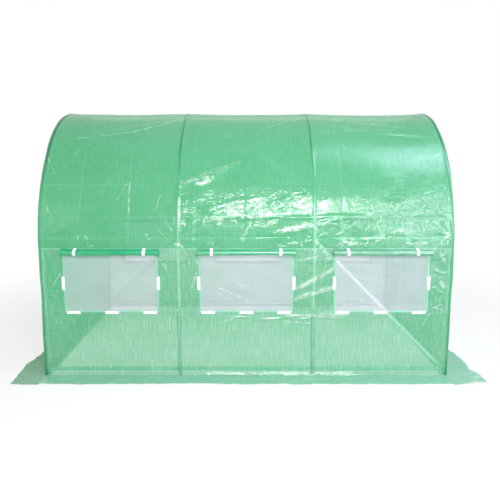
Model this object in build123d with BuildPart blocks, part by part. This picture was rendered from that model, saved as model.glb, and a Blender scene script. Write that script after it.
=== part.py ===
from build123d import *
import os
from math import asin, cos, degrees, radians, sin, sqrt, tan

os.makedirs("parts", exist_ok=True)

# Walk-in polytunnel greenhouse: a bolted steel hoop frame under a sewn sheet cover with roll-up windows.
# Millimetres. X runs along the tunnel, -Y is the viewer's side, Z is up, and the origin lies on the
# ground under the middle of the tunnel.

# Tunnel outline, measured over the outside of the cover
tunnel_length = 3000.0
tunnel_width = 2000.0
tunnel_height = 1980.0
shoulder_offset = 150.0
shoulder_angle = 40
bay_count = 3

# Cover sheets
sheet_thickness = 3.0
seam_rise = 60.0
sewing_gap = 0.3
cover_gap = 0.5
side_skirt_width = 185.0
end_skirt_width = 215.0
cut_overrun = 50.0

# Frame tubes, drawn with flats, whose ends are pressed into bolt tongues
tube_diameter = 25.0
tube_sides = 12
joint_gap = 0.3
tongue_thickness = 3.0
tongue_tip = 11.0
tongue_chamfer = 7.0
tongue_reach = 42.0
brace_reach = 62.0
flare_length = 32.0
seat_gap = 0.3
rail_gap = 2.0
end_rail_clearance = 1.5
purlin_rise = 135.0

# Window openings and their insect mesh
window_width = 665.0
window_height = 445.0
window_drop = 15.0
mesh_thickness = 1.5
mesh_lap = 20.0

# Rolled window flaps and the ties that hold them up
roll_diameter = 38.0
roll_overhang = 25.0
roll_drop = 27.0
tail_rise = 2.0
tie_width = 22.0
tie_thickness = 1.5
tie_inset = 82.5
tie_rise = 25.0
tie_gap = 0.3
tie_sides = 12

# Touch-tape patches round each window
patch_length = 102.0
patch_width = 22.0
patch_thickness = 2.0
patch_margin = 3.0
jamb_patch_drop = 17.0

# Zipped door in the right end
door_width = 800.0
door_head_drop = 230.0
door_gap = 0.6
zip_width = 30.0
zip_thickness = 2.0
zip_sill = 25.0

# Three-centred arch: shoulders of a large radius run into a crown of a smaller one
half_length = tunnel_length / 2
half_width = tunnel_width / 2
shoulder_radius = half_width + shoulder_offset
crown_radius = shoulder_radius - shoulder_offset / cos(radians(shoulder_angle))
crown_rise = shoulder_offset * tan(radians(shoulder_angle))
crown_angle = 90 - shoulder_angle
leg_height = tunnel_height - crown_radius - crown_rise
crown_centre = leg_height + crown_rise
seam_height = leg_height + seam_rise

# Hoop centre lines lie inside the cover
tube_radius = tube_diameter / 2
hoop_inset = sheet_thickness + cover_gap + tube_radius
hoop_side = half_width - hoop_inset
end_hoop = half_length - hoop_inset
bay_length = 2 * end_hoop / bay_count
hoop_places = [bay_length * n - end_hoop for n in range(bay_count + 1)]
bay_centres = [bay_length * (n + 0.5) - end_hoop for n in range(bay_count)]
bay_names = ["left", "centre", "right"]

# Tongues stack inwards from the hoop tubes, one layer to each lapped piece
layer = tongue_thickness + seat_gap
first_layer = tube_radius + seat_gap + tongue_thickness / 2
end_rail_height = tube_radius + end_rail_clearance
base_rail_height = end_rail_height + tube_diameter + rail_gap


def save(piece, name):
    """Label one finished piece and write it as its own file."""
    piece.part.label = name
    export_step(piece.part, f"parts/{name}.step")


def save_pair(front, name):
    """Write a piece of the front side and its mirror image on the back side."""
    save(front, f"front_{name}")
    with BuildPart() as back:
        mirror(front.part, about=Plane.XZ)
    save(back, f"back_{name}")


def shoulder_arc(inset):
    """The front shoulder of the arch, inset from the outside of the cover."""
    CenterArc((shoulder_offset, leg_height), shoulder_radius - inset, 180, -shoulder_angle)


def crown_arc(inset, gap_angle=0):
    """The front half of the crown, inset from the outside of the cover and cut short at both ends."""
    start_angle = 180 - shoulder_angle - gap_angle
    CenterArc((0, crown_centre), crown_radius - inset, start_angle, 2 * gap_angle - crown_angle)


def arch_outline(inset):
    """The closed outline of the whole tunnel section, inset all round but standing on the ground."""
    with BuildSketch() as outline:
        with BuildLine():
            Line((inset - half_width, 0), (inset - half_width, leg_height))
            shoulder_arc(inset)
            crown_arc(inset)
            mirror(about=Plane.YZ)
            Line((inset - half_width, 0), (half_width - inset, 0))
        make_face()
    return outline.sketch


def arched_sheet(outer_inset, thickness, from_x, to_x):
    """A sheet that follows the tunnel section from one X to another."""
    with BuildPart() as sheet:
        with BuildSketch(Plane.YZ.offset(from_x)):
            add(arch_outline(outer_inset))
            add(arch_outline(outer_inset + thickness), mode=Mode.SUBTRACT)
        extrude(amount=to_x - from_x)
    return sheet.part


# Hoops: each is two legs, two shoulders and two crown halves pushed together end to end

with BuildPart() as front_legs:
    with BuildSketch():
        with Locations([(x, -hoop_side) for x in hoop_places]):
            RegularPolygon(tube_radius, tube_sides)
    extrude(amount=leg_height - joint_gap)
save_pair(front_legs, "hoop_legs")

with BuildPart() as front_shoulders:
    for hoop_x in hoop_places:
        with BuildLine(Plane.YZ.offset(hoop_x)) as shoulder_path:
            shoulder_arc(hoop_inset)
        with BuildSketch(Plane(shoulder_path.line @ 0, x_dir=(1, 0, 0), z_dir=shoulder_path.line % 0)):
            RegularPolygon(tube_radius, tube_sides)
        sweep()
save_pair(front_shoulders, "hoop_shoulders")

joint_angle = degrees(joint_gap / (crown_radius - hoop_inset))
with BuildPart() as front_crowns:
    for hoop_x in hoop_places:
        with BuildLine(Plane.YZ.offset(hoop_x)) as crown_path:
            crown_arc(hoop_inset, joint_angle)
        with BuildSketch(Plane(crown_path.line @ 0, x_dir=(1, 0, 0), z_dir=crown_path.line % 0)):
            RegularPolygon(tube_radius, tube_sides)
        sweep()
save_pair(front_crowns, "hoop_crowns")


# Rails, purlins and braces: tubes whose ends are pressed flat and bolted to the inside of the hoops

def flat_ended_tube(first_bolt, last_bolt, facing, reach=tongue_reach):
    """A tube between two bolts: a straight bar cut to its pressed side view and its trimmed plan view."""
    first_bolt = Vector(first_bolt)
    last_bolt = Vector(last_bolt)
    middle = (first_bolt + last_bolt) / 2
    along = (last_bolt - first_bolt).normalized()
    facing = Vector(facing)
    facing = (facing - along * facing.dot(along)).normalized()
    across = along.cross(facing)
    half_span = (last_bolt - first_bolt).length / 2
    half_tube = half_span + tongue_tip
    with BuildPart() as tube:
        with BuildSketch(Plane(middle, x_dir=across, z_dir=along)):
            RegularPolygon(tube_radius, tube_sides)
        extrude(amount=half_tube, both=True)
        with BuildSketch(Plane(middle, x_dir=along, z_dir=across)):
            with BuildLine():
                Polyline(
                    (half_tube, 0),
                    (half_tube, tongue_thickness / 2),
                    (half_span - reach, tongue_thickness / 2),
                    (half_span - reach - flare_length, tube_radius),
                    (0, tube_radius),
                )
                mirror(about=Plane.YZ)
                mirror(about=Plane.XZ)
            make_face()
        extrude(amount=tube_diameter, both=True, mode=Mode.INTERSECT)
        with BuildSketch(Plane(middle, x_dir=along, z_dir=facing)) as plan_view:
            Rectangle(2 * half_tube, tube_diameter)
            chamfer(plan_view.vertices(), tongue_chamfer)
        extrude(amount=tube_diameter, both=True, mode=Mode.INTERSECT)
    return tube.part


def bay_tubes(depth, height, inwards):
    """One tube to each bay on the inside of the hoops; every second bay laps over its neighbours."""
    tubes = []
    for bay in range(bay_count):
        lap = layer * (bay % 2)
        y = depth + inwards[1] * lap
        z = height + inwards[2] * lap
        tubes.append(flat_ended_tube((hoop_places[bay], y, z), (hoop_places[bay + 1], y, z), inwards))
    return tubes


base_rail_tubes = bay_tubes(first_layer - hoop_side, base_rail_height, (0, 1, 0))
with BuildPart() as front_base_rails:
    add(base_rail_tubes)
save_pair(front_base_rails, "base_rails")

# The purlin tongues lie square to the hoops, which already lean inwards at that height
purlin_angle = asin(purlin_rise / (shoulder_radius - hoop_inset))
purlin_inwards = (0, cos(purlin_angle), -sin(purlin_angle))
purlin_radius = shoulder_radius - hoop_inset - first_layer
purlin_bolt_y = shoulder_offset - purlin_radius * cos(purlin_angle)
purlin_bolt_z = leg_height + purlin_radius * sin(purlin_angle)
purlin_tubes = bay_tubes(purlin_bolt_y, purlin_bolt_z, purlin_inwards)
with BuildPart() as front_purlins:
    add(purlin_tubes)
save_pair(front_purlins, "side_purlins")

ridge_tubes = bay_tubes(0, tunnel_height - hoop_inset - first_layer, (0, 0, -1))
with BuildPart() as ridge_purlins:
    add(ridge_tubes)
save(ridge_purlins, "ridge_purlins")

for end_name, end_sign in (("left", -1), ("right", 1)):
    end_rail_x = end_sign * (end_hoop - first_layer)
    end_tube = flat_ended_tube((end_rail_x, -hoop_side, end_rail_height),
                               (end_rail_x, hoop_side, end_rail_height), (-end_sign, 0, 0))
    with BuildPart() as end_rail:
        add(end_tube)
    save(end_rail, f"{end_name}_end_rail")

# Diagonal braces share the base-rail bolt of an end hoop and the purlin bolt of the next hoop
brace_depth = 2 * layer + tube_diameter * sin(purlin_angle)
brace_foot = (end_hoop, first_layer - hoop_side + layer, base_rail_height)
brace_head = (hoop_places[-2], purlin_bolt_y + brace_depth * cos(purlin_angle),
              purlin_bolt_z - brace_depth * sin(purlin_angle))
front_brace_tube = flat_ended_tube(brace_foot, brace_head, (0, 1, 0), brace_reach)
with BuildPart() as front_brace:
    add(front_brace_tube)
save(front_brace, "front_brace")

with BuildPart() as back_brace:
    with Locations(Rotation(0, 0, 180)):
        add(front_brace_tube)
save(back_brace, "back_brace")


# Cover: roof, side walls with window openings, end walls and ground skirts

cover_arch = arched_sheet(0, sheet_thickness, -half_length, half_length)
with BuildPart() as roof_sheet:
    add(cover_arch)
    split(bisect_by=Plane.XY.offset(seam_height), keep=Keep.TOP)
save(roof_sheet, "roof_sheet")

window_middle = seam_height - window_drop - window_height / 2
with BuildPart() as front_wall:
    add(cover_arch)
    split(bisect_by=Plane.XY.offset(seam_height), keep=Keep.BOTTOM)
    split(bisect_by=Plane.XZ, keep=Keep.TOP)
    with BuildSketch(Plane.XZ.offset(half_width + cut_overrun)):
        with Locations([(x, window_middle) for x in bay_centres]):
            Rectangle(window_width, window_height)
    extrude(amount=-2 * cut_overrun, mode=Mode.SUBTRACT)
save_pair(front_wall, "wall_sheet")

end_inset = sheet_thickness + sewing_gap
with BuildPart() as left_end_sheet:
    with BuildSketch(Plane.YZ.offset(-half_length)):
        add(arch_outline(end_inset))
    extrude(amount=sheet_thickness)
save(left_end_sheet, "left_end_sheet")

door_height = tunnel_height - door_head_drop
with BuildPart() as right_end_sheet:
    with BuildSketch(Plane.YZ.offset(half_length - sheet_thickness)):
        add(arch_outline(end_inset))
        Rectangle(door_width, door_height, align=(Align.CENTER, Align.MIN), mode=Mode.SUBTRACT)
    extrude(amount=sheet_thickness)
save(right_end_sheet, "right_end_sheet")

with BuildPart() as front_skirt:
    with Locations((0, -half_width, 0)):
        Box(tunnel_length, side_skirt_width, sheet_thickness, align=(Align.CENTER, Align.MAX, Align.MIN))
save_pair(front_skirt, "skirt")

for end_name, end_sign, end_align in (("left", -1, Align.MAX), ("right", 1, Align.MIN)):
    with BuildPart() as end_skirt:
        with Locations((end_sign * half_length, 0, 0)):
            Box(end_skirt_width, tunnel_width + 2 * side_skirt_width, sheet_thickness,
                align=(end_align, Align.CENTER, Align.MIN))
    save(end_skirt, f"{end_name}_skirt")


# Door: a sheet panel sewn along its top and closed by a zip down each side

with BuildPart() as door_panel:
    with BuildSketch(Plane.YZ.offset(half_length - sheet_thickness)):
        Rectangle(door_width - 2 * door_gap, door_height - door_gap, align=(Align.CENTER, Align.MIN))
    extrude(amount=sheet_thickness)
save(door_panel, "door_panel")

with BuildPart() as door_zips:
    with BuildSketch(Plane.YZ.offset(half_length)):
        with Locations((-door_width / 2, zip_sill), (door_width / 2, zip_sill)):
            Rectangle(zip_width, door_height - zip_sill, align=(Align.CENTER, Align.MIN))
    extrude(amount=zip_thickness)
save(door_zips, "door_zips")


# Windows: mesh inside the opening, a rolled flap over it, two ties and five touch-tape patches

def window_mesh(centre):
    """A mesh sheet sewn to the inside of the wall, lapping the opening all round."""
    half_mesh = window_width / 2 + mesh_lap
    lining = arched_sheet(sheet_thickness, mesh_thickness, centre - half_mesh, centre + half_mesh)
    with BuildPart() as mesh:
        add(lining)
        with Locations((centre, -half_width, window_middle)):
            Box(2 * half_mesh, 2 * cut_overrun, window_height + 2 * mesh_lap, mode=Mode.INTERSECT)
    return mesh


# The roll hangs in front of the wall, which leans a little here, with the back strap of its ties between
roll_radius = roll_diameter / 2
roll_length = window_width + 2 * roll_overhang
roll_height = seam_height - roll_drop
wall_lean = shoulder_radius - sqrt(shoulder_radius ** 2 - max(roll_height - leg_height, 0) ** 2)
strap_depth = tie_thickness + 2 * tie_gap
roll_back = wall_lean - half_width - strap_depth
roll_centre = roll_back - roll_radius
tail_length = roll_drop + tail_rise


def flap_roll(centre):
    """The flap rolled up from its hem, hanging from its seam by a flat tail."""
    with BuildPart() as roll:
        with BuildSketch(Plane.YZ.offset(centre - roll_length / 2)):
            with Locations((roll_centre, roll_height)):
                Circle(roll_radius)
            with Locations((roll_back, roll_height)):
                Rectangle(sheet_thickness, tail_length, align=(Align.MAX, Align.MIN))
        extrude(amount=roll_length)
    return roll


def flap_tie(centre):
    """A strap that runs down behind the roll, under it and up over its front, open where the tail passes."""
    strap_inside = roll_radius + tie_gap
    strap_length = roll_drop + tie_rise
    front_strap = roll_radius - sheet_thickness - tie_gap
    front_start = sqrt(strap_inside ** 2 - (front_strap - tie_thickness) ** 2)
    with BuildPart() as tie:
        with BuildSketch(Plane.YZ.offset(centre - tie_width / 2)):
            with Locations((roll_centre, roll_height)):
                RegularPolygon(strap_inside + tie_thickness, tie_sides, major_radius=False)
                RegularPolygon(strap_inside, tie_sides, major_radius=False, mode=Mode.SUBTRACT)
            with Locations((roll_back + tie_gap, roll_height)):
                Rectangle(sheet_thickness + 2 * tie_gap, strap_length, align=(Align.MAX, Align.MIN),
                          mode=Mode.SUBTRACT)
            with Locations((roll_back + tie_gap, roll_height)):
                Rectangle(tie_thickness, strap_length, align=(Align.MIN, Align.MIN))
            with Locations((roll_centre + front_strap, roll_height + front_start)):
                Rectangle(tie_thickness, strap_length - front_start, align=(Align.MAX, Align.MIN))
        extrude(amount=tie_width)
    return tie.part


for bay_name, bay_centre in zip(bay_names, bay_centres):
    save_pair(window_mesh(bay_centre), f"{bay_name}_window_mesh")
    save_pair(flap_roll(bay_centre), f"{bay_name}_flap_roll")

tie_spread = window_width / 2 - tie_inset
tie_places = [x + tie_spread * n for x in bay_centres for n in (-1, 1)]
tie_straps = [flap_tie(x) for x in tie_places]
with BuildPart() as front_ties:
    add(tie_straps)
save_pair(front_ties, "flap_ties")

# Three patches under each sill and one beside each jamb, sewn on the outside of the wall
sill_patch_spread = (window_width - patch_length) / 2
sill_patch_height = window_middle - (window_height + patch_width) / 2 - patch_margin
jamb_patch_spread = (window_width + patch_width) / 2 + patch_margin
jamb_patch_height = window_middle - jamb_patch_drop
sill_patches = [(x + sill_patch_spread * n, sill_patch_height) for x in bay_centres for n in (-1, 0, 1)]
jamb_patches = [(x + jamb_patch_spread * n, jamb_patch_height) for x in bay_centres for n in (-1, 1)]
with BuildPart() as front_patches:
    with BuildSketch(Plane.XZ.offset(half_width)):
        with Locations(sill_patches):
            Rectangle(patch_length, patch_width)
        with Locations(jamb_patches):
            Rectangle(patch_width, patch_length)
    extrude(amount=patch_thickness)
save_pair(front_patches, "touch_patches")
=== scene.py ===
# %% [markdown]
# A walk-in garden polytunnel: a frame of galvanised hoops under a sewn cover of green reinforced film.
# The measured solids of the tunnel come in first as a fixed frame, in metres, standing on the ground at
# the origin.

# %% Load the frame
import bpy
import numpy as np
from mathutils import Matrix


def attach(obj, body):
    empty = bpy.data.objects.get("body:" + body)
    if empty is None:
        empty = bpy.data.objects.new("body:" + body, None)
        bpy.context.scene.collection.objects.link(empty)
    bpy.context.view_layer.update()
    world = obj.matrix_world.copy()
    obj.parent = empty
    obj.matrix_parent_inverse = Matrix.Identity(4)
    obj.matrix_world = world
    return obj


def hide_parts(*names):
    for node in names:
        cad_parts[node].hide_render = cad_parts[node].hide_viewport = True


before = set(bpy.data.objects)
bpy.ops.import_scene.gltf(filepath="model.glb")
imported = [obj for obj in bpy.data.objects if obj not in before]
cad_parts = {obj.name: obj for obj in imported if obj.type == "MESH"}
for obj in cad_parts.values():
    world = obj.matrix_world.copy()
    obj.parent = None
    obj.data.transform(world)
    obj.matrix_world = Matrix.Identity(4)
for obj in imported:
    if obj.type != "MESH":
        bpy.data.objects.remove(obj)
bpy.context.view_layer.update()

# %% [markdown]
# The photograph is taken from a little above chest height, five metres in front of the long side, with a
# normal lens that looks slightly down. Any camera could be tried by eye, but the hoops, the windows and the
# skirt corners fix one place and one angle of view, so those numbers are written here.

# %% Camera
lens_mm, sensor_mm = 41.33, 36.0
eye = (0.028, -5.10, 1.630)
tilt_down = np.radians(9.38)
camera_data = bpy.data.cameras.new("photo_camera")
camera_data.lens, camera_data.sensor_width = lens_mm, sensor_mm
camera = bpy.data.objects.new("photo_camera", camera_data)
camera.location = eye
camera.rotation_euler = (np.pi / 2 - tilt_down, 0, 0)
bpy.context.scene.collection.objects.link(camera)
bpy.context.scene.camera = camera
print("camera at", eye, "tilted down", round(float(np.degrees(tilt_down)), 2), "degrees")

# %% [markdown]
# The long cover is one sheet that climbs the front wall, goes over the hoops and comes down behind. A point
# on it has two numbers: x along the tunnel, and s, the length of film from the ground in front. The section
# of the hoops is a three-centred arch, so s turns into a height and a depth by straight legs, two shoulders
# of a large radius and a crown of a smaller one.

# %% The arch that the cover follows
half_length, half_width, tunnel_top = 1.5, 1.0, 1.98
shoulder_offset, shoulder_turn = 0.15, np.radians(40)
shoulder_radius = half_width + shoulder_offset
crown_radius = shoulder_radius - shoulder_offset / np.cos(shoulder_turn)
crown_rise = shoulder_offset * np.tan(shoulder_turn)
leg_height = tunnel_top - crown_radius - crown_rise
shoulder_length = shoulder_radius * shoulder_turn
crown_length = crown_radius * (np.pi / 2 - shoulder_turn)
ridge_s = leg_height + shoulder_length + crown_length
cover_length = 2 * ridge_s


def from_ground(s):
    """Film length from the nearer of the two grounds."""
    return np.minimum(s, cover_length - s)


def seen_x(x, s):
    """Place along the tunnel as the film's nearer side has it: x in front, -x behind."""
    return np.where(s > ridge_s, -x, x)


def arch(s, inset=0.0):
    """Depth, height and outward direction of the arch at film length s.

    Each half is a leg, then an arc about (offset, leg height), then an arc about the tunnel's middle line.
    The back half is the front half's mirror image.
    """
    near = from_ground(s)
    on_shoulder = np.clip(near - leg_height, 0, shoulder_length)
    on_crown = np.clip(near - leg_height - shoulder_length, 0, None)
    turn = on_shoulder / shoulder_radius + on_crown / crown_radius
    crowned = near > leg_height + shoulder_length
    radius = np.where(crowned, crown_radius, shoulder_radius) - inset
    middle_y = np.where(crowned, 0.0, shoulder_offset)
    middle_z = np.where(crowned, leg_height + crown_rise, np.minimum(near, leg_height))
    side = np.where(s > ridge_s, -1.0, 1.0)
    depth = side * (middle_y - radius * np.cos(turn))
    return depth, middle_z + radius * np.sin(turn), -side * np.cos(turn), np.sin(turn)


print("cover from ground to ground:", round(cover_length, 3), "m, legs", round(leg_height, 3), "m")

# %% [markdown]
# Film that has been folded, shipped and pulled over a frame is never smooth. Two kinds of random height make
# most of its relief. Smooth noise gives slack and drift. The squared distance to scattered points gives bowls
# that meet in straight sharp ridges, just as crumpled film does. Both come from fixed tables, so every run
# gives the same creases.

# %% Random relief
table_size = 256


def table(seed):
    """A square table of random numbers from 0 to 1, the same on each run."""
    return np.random.default_rng(seed).random((table_size, table_size))


def drift(u, v, seed):
    """Smooth noise from -1 to 1: random heights on a unit lattice, blended by t*t*(3 - 2t)."""
    heights = table(seed)
    column, row = np.floor(u).astype(int), np.floor(v).astype(int)
    a, b = u - column, v - row
    a, b = a * a * (3 - 2 * a), b * b * (3 - 2 * b)
    corner = [[heights[(column + i) % table_size, (row + j) % table_size] for j in (0, 1)] for i in (0, 1)]
    low = corner[0][0] * (1 - a) + corner[1][0] * a
    high = corner[0][1] * (1 - a) + corner[1][1] * a
    return 2 * (low * (1 - b) + high * b) - 1


def crumple(u, v, seed):
    """Squared distance to the nearest of one scattered point in each unit square, less its mean of a fifth."""
    along, across = table(seed), table(seed + 1)
    column, row = np.floor(u).astype(int), np.floor(v).astype(int)
    nearest = np.full(np.shape(u), 9.0)
    for i in (-1, 0, 1):
        for j in (-1, 0, 1):
            cell = ((column + i) % table_size, (row + j) % table_size)
            gap_u = column + i + along[cell] - u
            gap_v = row + j + across[cell] - v
            nearest = np.minimum(nearest, gap_u ** 2 + gap_v ** 2)
    return nearest - 0.2


print("relief tables of", table_size, "by", table_size)

# %% [markdown]
# What the film does at each place follows from what holds it. It is tight over the four hoops and sags a
# little in the bays between. A cloth simulation could find the sag, but it would find other creases after every
# change, so here a parabola across each bay gives it, and a bell over each hoop says how firmly it is held.

# %% Hoops and sag
hoop_inset, deepest_sag = 0.016, 0.014
hoop_places = np.linspace(-1, 1, 4) * (half_length - hoop_inset)
bay_length = hoop_places[1] - hoop_places[0]


def bell(gap, reach):
    """One at no gap, falling smoothly to nothing on both sides: exp(-(gap / reach) squared)."""
    return np.exp(-(gap / reach) ** 2)


def gap_to(values, places):
    """Distance from each value to the nearest of some places."""
    return np.abs(np.asarray(values)[..., None] - np.asarray(places)).min(-1)


def bay_sag(x, s):
    """Inward sag: a parabola across each bay, deepest at the ridge and gone at the ground."""
    share = np.mod((x - hoop_places[0]) / bay_length, 1.0)
    height = np.clip(from_ground(s), 0, None) / ridge_s
    uneven = 0.75 + 0.35 * drift(x * 1.1, s * 1.7, 3)
    return -deepest_sag * 4 * share * (1 - share) * height ** 1.5 * uneven


print("hoops at", hoop_places.round(3), "with bays of", round(bay_length, 3), "m")

# %% [markdown]
# Packing has left a grid of sharp fold lines. Each is a tent of a few millimetres, and smooth noise makes it
# stronger in some stretches than in others. Neighbours stand in and out by turns, because the film was folded
# to and fro.

# %% Packing folds
fold_xs = np.array([-1.21, -0.853, -0.385, -0.015, 0.33, 0.70, 1.10])
fold_x_weights = np.array([0.8, 1.0, 0.8, 1.0, 0.8, 0.5, 0.3])
fold_ss = np.array([0.485, 1.045, 1.185, 1.44, 1.93, 2.42, 2.92, 3.42, 3.88, 4.58])
fold_weights = np.array([0.8, 0.7, 0.9, 0.25, 0.5, 0.8, 0.9, 0.9, 1.0, 1.0])
upright_fold, lengthwise_fold = 0.0022, 0.0032


def sharp(gap, reach):
    """One on a line, with an edge there, falling off on both sides as exp(-distance / reach)."""
    return np.exp(-np.abs(gap) / reach)


def packing_folds(x, s):
    """Sharp ridges on straight lines, in and out by turns: height times exp(-distance), stronger in some stretches."""
    total = np.zeros(np.broadcast(x, s).shape)
    for n, (place, weight) in enumerate(zip(fold_xs, fold_x_weights)):
        strength = np.clip(0.45 + 0.9 * drift(s * 2.3 + 7.1 * n, x * 0 + n, 11), 0, 1)
        total = total + upright_fold * weight * strength * (-1) ** n * sharp(x - place, 0.010)
    for n, (place, weight) in enumerate(zip(fold_ss, fold_weights)):
        strength = np.clip(0.5 + 0.8 * drift(x * 1.9 + 5.3 * n, s * 0 + n, 12), 0, 1)
        total = total + lengthwise_fold * weight * strength * (-1) ** n * sharp(s - place, 0.011)
    return total


print("packing folds:", len(fold_xs), "upright and", len(fold_ss), "lengthwise")

# %% [markdown]
# Pulling the cover down has drawn long slanted folds between the points that hold it. They could be sculpted by
# hand, but a list of lines with a height and a width is easy to read and to correct. Each line here carries a
# soft bell across it that fades out at both ends.

# %% Pulled folds
# each pulled fold: x and s of its start, x and s of its end, height and half width in millimetres
pulled_folds = np.array([
    [-0.50, 2.17, -1.32, 1.88, 5, 16], [-1.19, 1.79, -1.32, 1.72, 3, 9], [-1.48, 1.75, -1.38, 1.49, 3, 9],
    [-0.85, 1.48, -0.92, 1.27, 3, 10], [-0.50, 1.42, 0.05, 1.65, 9, 36], [-0.44, 1.21, 0.13, 1.35, 5, 22],
    [0.17, 1.06, 0.87, 1.21, 6, 18], [0.11, 1.19, 0.87, 1.20, 4, 12], [0.75, 0.99, 1.15, 1.10, 5, 20],
    [0.87, 1.21, 1.47, 1.40, 5, 20], [1.15, 1.17, 1.43, 1.19, 3, 10], [-0.02, 1.01, 0.03, 1.14, 3, 10],
    [0.37, 0.86, 0.52, 0.91, 6, 11], [0.37, 0.65, 0.66, 0.84, 8, 13], [0.37, 0.60, 0.66, 0.69, 8, 12],
    [0.25, 0.46, 0.74, 0.474, 4, 9], [0.52, 2.05, 1.48, 1.89, 5, 16], [0.53, 1.97, 1.09, 2.03, 4, 14],
    [-0.49, 2.25, 0.10, 2.38, 5, 18], [0.50, 2.33, -0.10, 2.40, 5, 18], [0.50, 2.30, 1.20, 2.42, 5, 18],
    [-0.50, 2.30, -1.10, 2.41, 5, 18], [0.50, 2.74, -0.15, 3.02, 5, 20], [-0.50, 2.85, -1.38, 3.20, 5, 20],
    [0.50, 3.05, 1.45, 3.38, 5, 18], [-0.48, 3.60, 0.12, 3.42, 6, 24], [0.20, 3.98, 0.95, 3.80, 5, 20],
    [-1.40, 3.72, -0.70, 3.90, 5, 20], [0.70, 3.55, 1.42, 3.70, 4, 16], [-0.66, 4.20, -0.37, 4.42, 5, 14],
    [-1.46, 0.76, -1.35, 0.86, 5, 10], [-1.47, 0.72, -1.36, 0.69, 5, 10], [-1.45, 0.60, -1.37, 0.64, 4, 9],
    [1.35, 0.87, 1.47, 0.93, 6, 10], [1.36, 0.80, 1.47, 0.77, 5, 9], [1.36, 0.67, 1.47, 0.61, 5, 10],
    [1.34, 0.52, 1.46, 0.60, 5, 10], [-0.41, 0.94, -0.36, 0.79, 5, 9], [-0.42, 0.66, -0.36, 0.76, 5, 9],
    [-0.62, 0.86, -0.55, 0.72, 4, 9], [-0.60, 0.55, -0.52, 0.64, 4, 9], [-0.28, 0.438, 0.08, 0.458, 5, 8],
    [0.04, 0.425, 0.40, 0.455, 6, 9], [0.30, 0.436, 0.74, 0.448, 6, 9], [0.45, 0.40, 0.60, 0.42, 4, 8],
    [-0.53, 0.44, -0.55, 0.30, 4, 9], [-0.90, 0.42, -0.91, 0.24, 3, 9], [0.38, 0.74, 0.64, 0.90, 4, 10],
    [-0.60, 4.12, -0.38, 4.30, 6, 12], [0.38, 4.20, 0.62, 4.40, 6, 12], [1.36, 4.16, 1.47, 4.28, 5, 10],
    [-0.40, 4.63, 0.10, 4.61, 5, 9], [0.60, 4.62, 1.10, 4.64, 5, 9], [-1.30, 4.61, -0.80, 4.64, 5, 9],
])


def line_place(x, s, x0, s0, x1, s1):
    """Where a point lies by a line: its share of the way from start to end, and its distance to one side."""
    run = np.hypot(x1 - x0, s1 - s0)
    along = ((x - x0) * (x1 - x0) + (s - s0) * (s1 - s0)) / run ** 2
    return along, ((x - x0) * (s1 - s0) - (s - s0) * (x1 - x0)) / run


def pulled(x, s):
    """Long soft ridges: a bell across each slightly wavy line, fading to nothing at its two ends."""
    total = np.zeros(np.broadcast(x, s).shape)
    for x0, s0, x1, s1, height, half in pulled_folds:
        along, across = line_place(x, s, x0, s0, x1, s1)
        bend = 0.35 * half * np.sin(3 * np.pi * along + x0 * 9)
        ends = np.clip(4 * along * (1 - along), 0, 1) ** 0.6
        total = total + 0.001 * height * ends * bell(1000 * across + bend, half)
    return total


print("pulled folds:", len(pulled_folds))

# %% [markdown]
# Small fans of wrinkles spread where hoops and purlins are bolted under the film, and the film is crumpled most
# above and round the windows, where it has been handled. The fans are waves round a point. How crumpled each
# place is comes from two soft bands and smooth noise.

# %% Fans and crumples
sill_s, purlin_s = 0.49, 1.04
fan_height, fan_reach, fan_heart = 0.0026, 0.13, 0.035


def joint_fans(x, s):
    """Fans of wrinkles round each hoop bolt: waves round the point that die out with distance from it."""
    total = np.zeros(np.broadcast(x, s).shape)
    for n, place in enumerate(hoop_places):
        for m, level in enumerate((sill_s, purlin_s, cover_length - purlin_s, cover_length - sill_s)):
            across, up = x - place, s - level
            distance = np.hypot(across, up) + 1e-6
            waves = np.cos((9 + (n + 2 * m) % 4) * np.arctan2(up, across) + n + 2.0 * m)
            total = total + fan_height * waves * bell(distance, fan_reach) * np.clip(distance / fan_heart, 0, 1)
    return total


def roughened(x, s):
    """How crumpled each place is, from 0 to 1: most above the windows and round them, least on the roof."""
    near = from_ground(s)
    band = bell(near - 1.20, 0.22) + 0.6 * bell(near - 0.72, 0.16)
    patches = np.clip(0.65 + 0.9 * drift(x * 2.2 + 0.4 * s, s * 3.0, 21), 0.1, 1.3)
    rightward = np.clip(0.85 + 0.35 * x, 0.35, 1.2)
    return np.clip(0.14 + band * patches * rightward, 0, 1)


print("fans of wrinkles round", 4 * len(hoop_places), "bolts")
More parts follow.
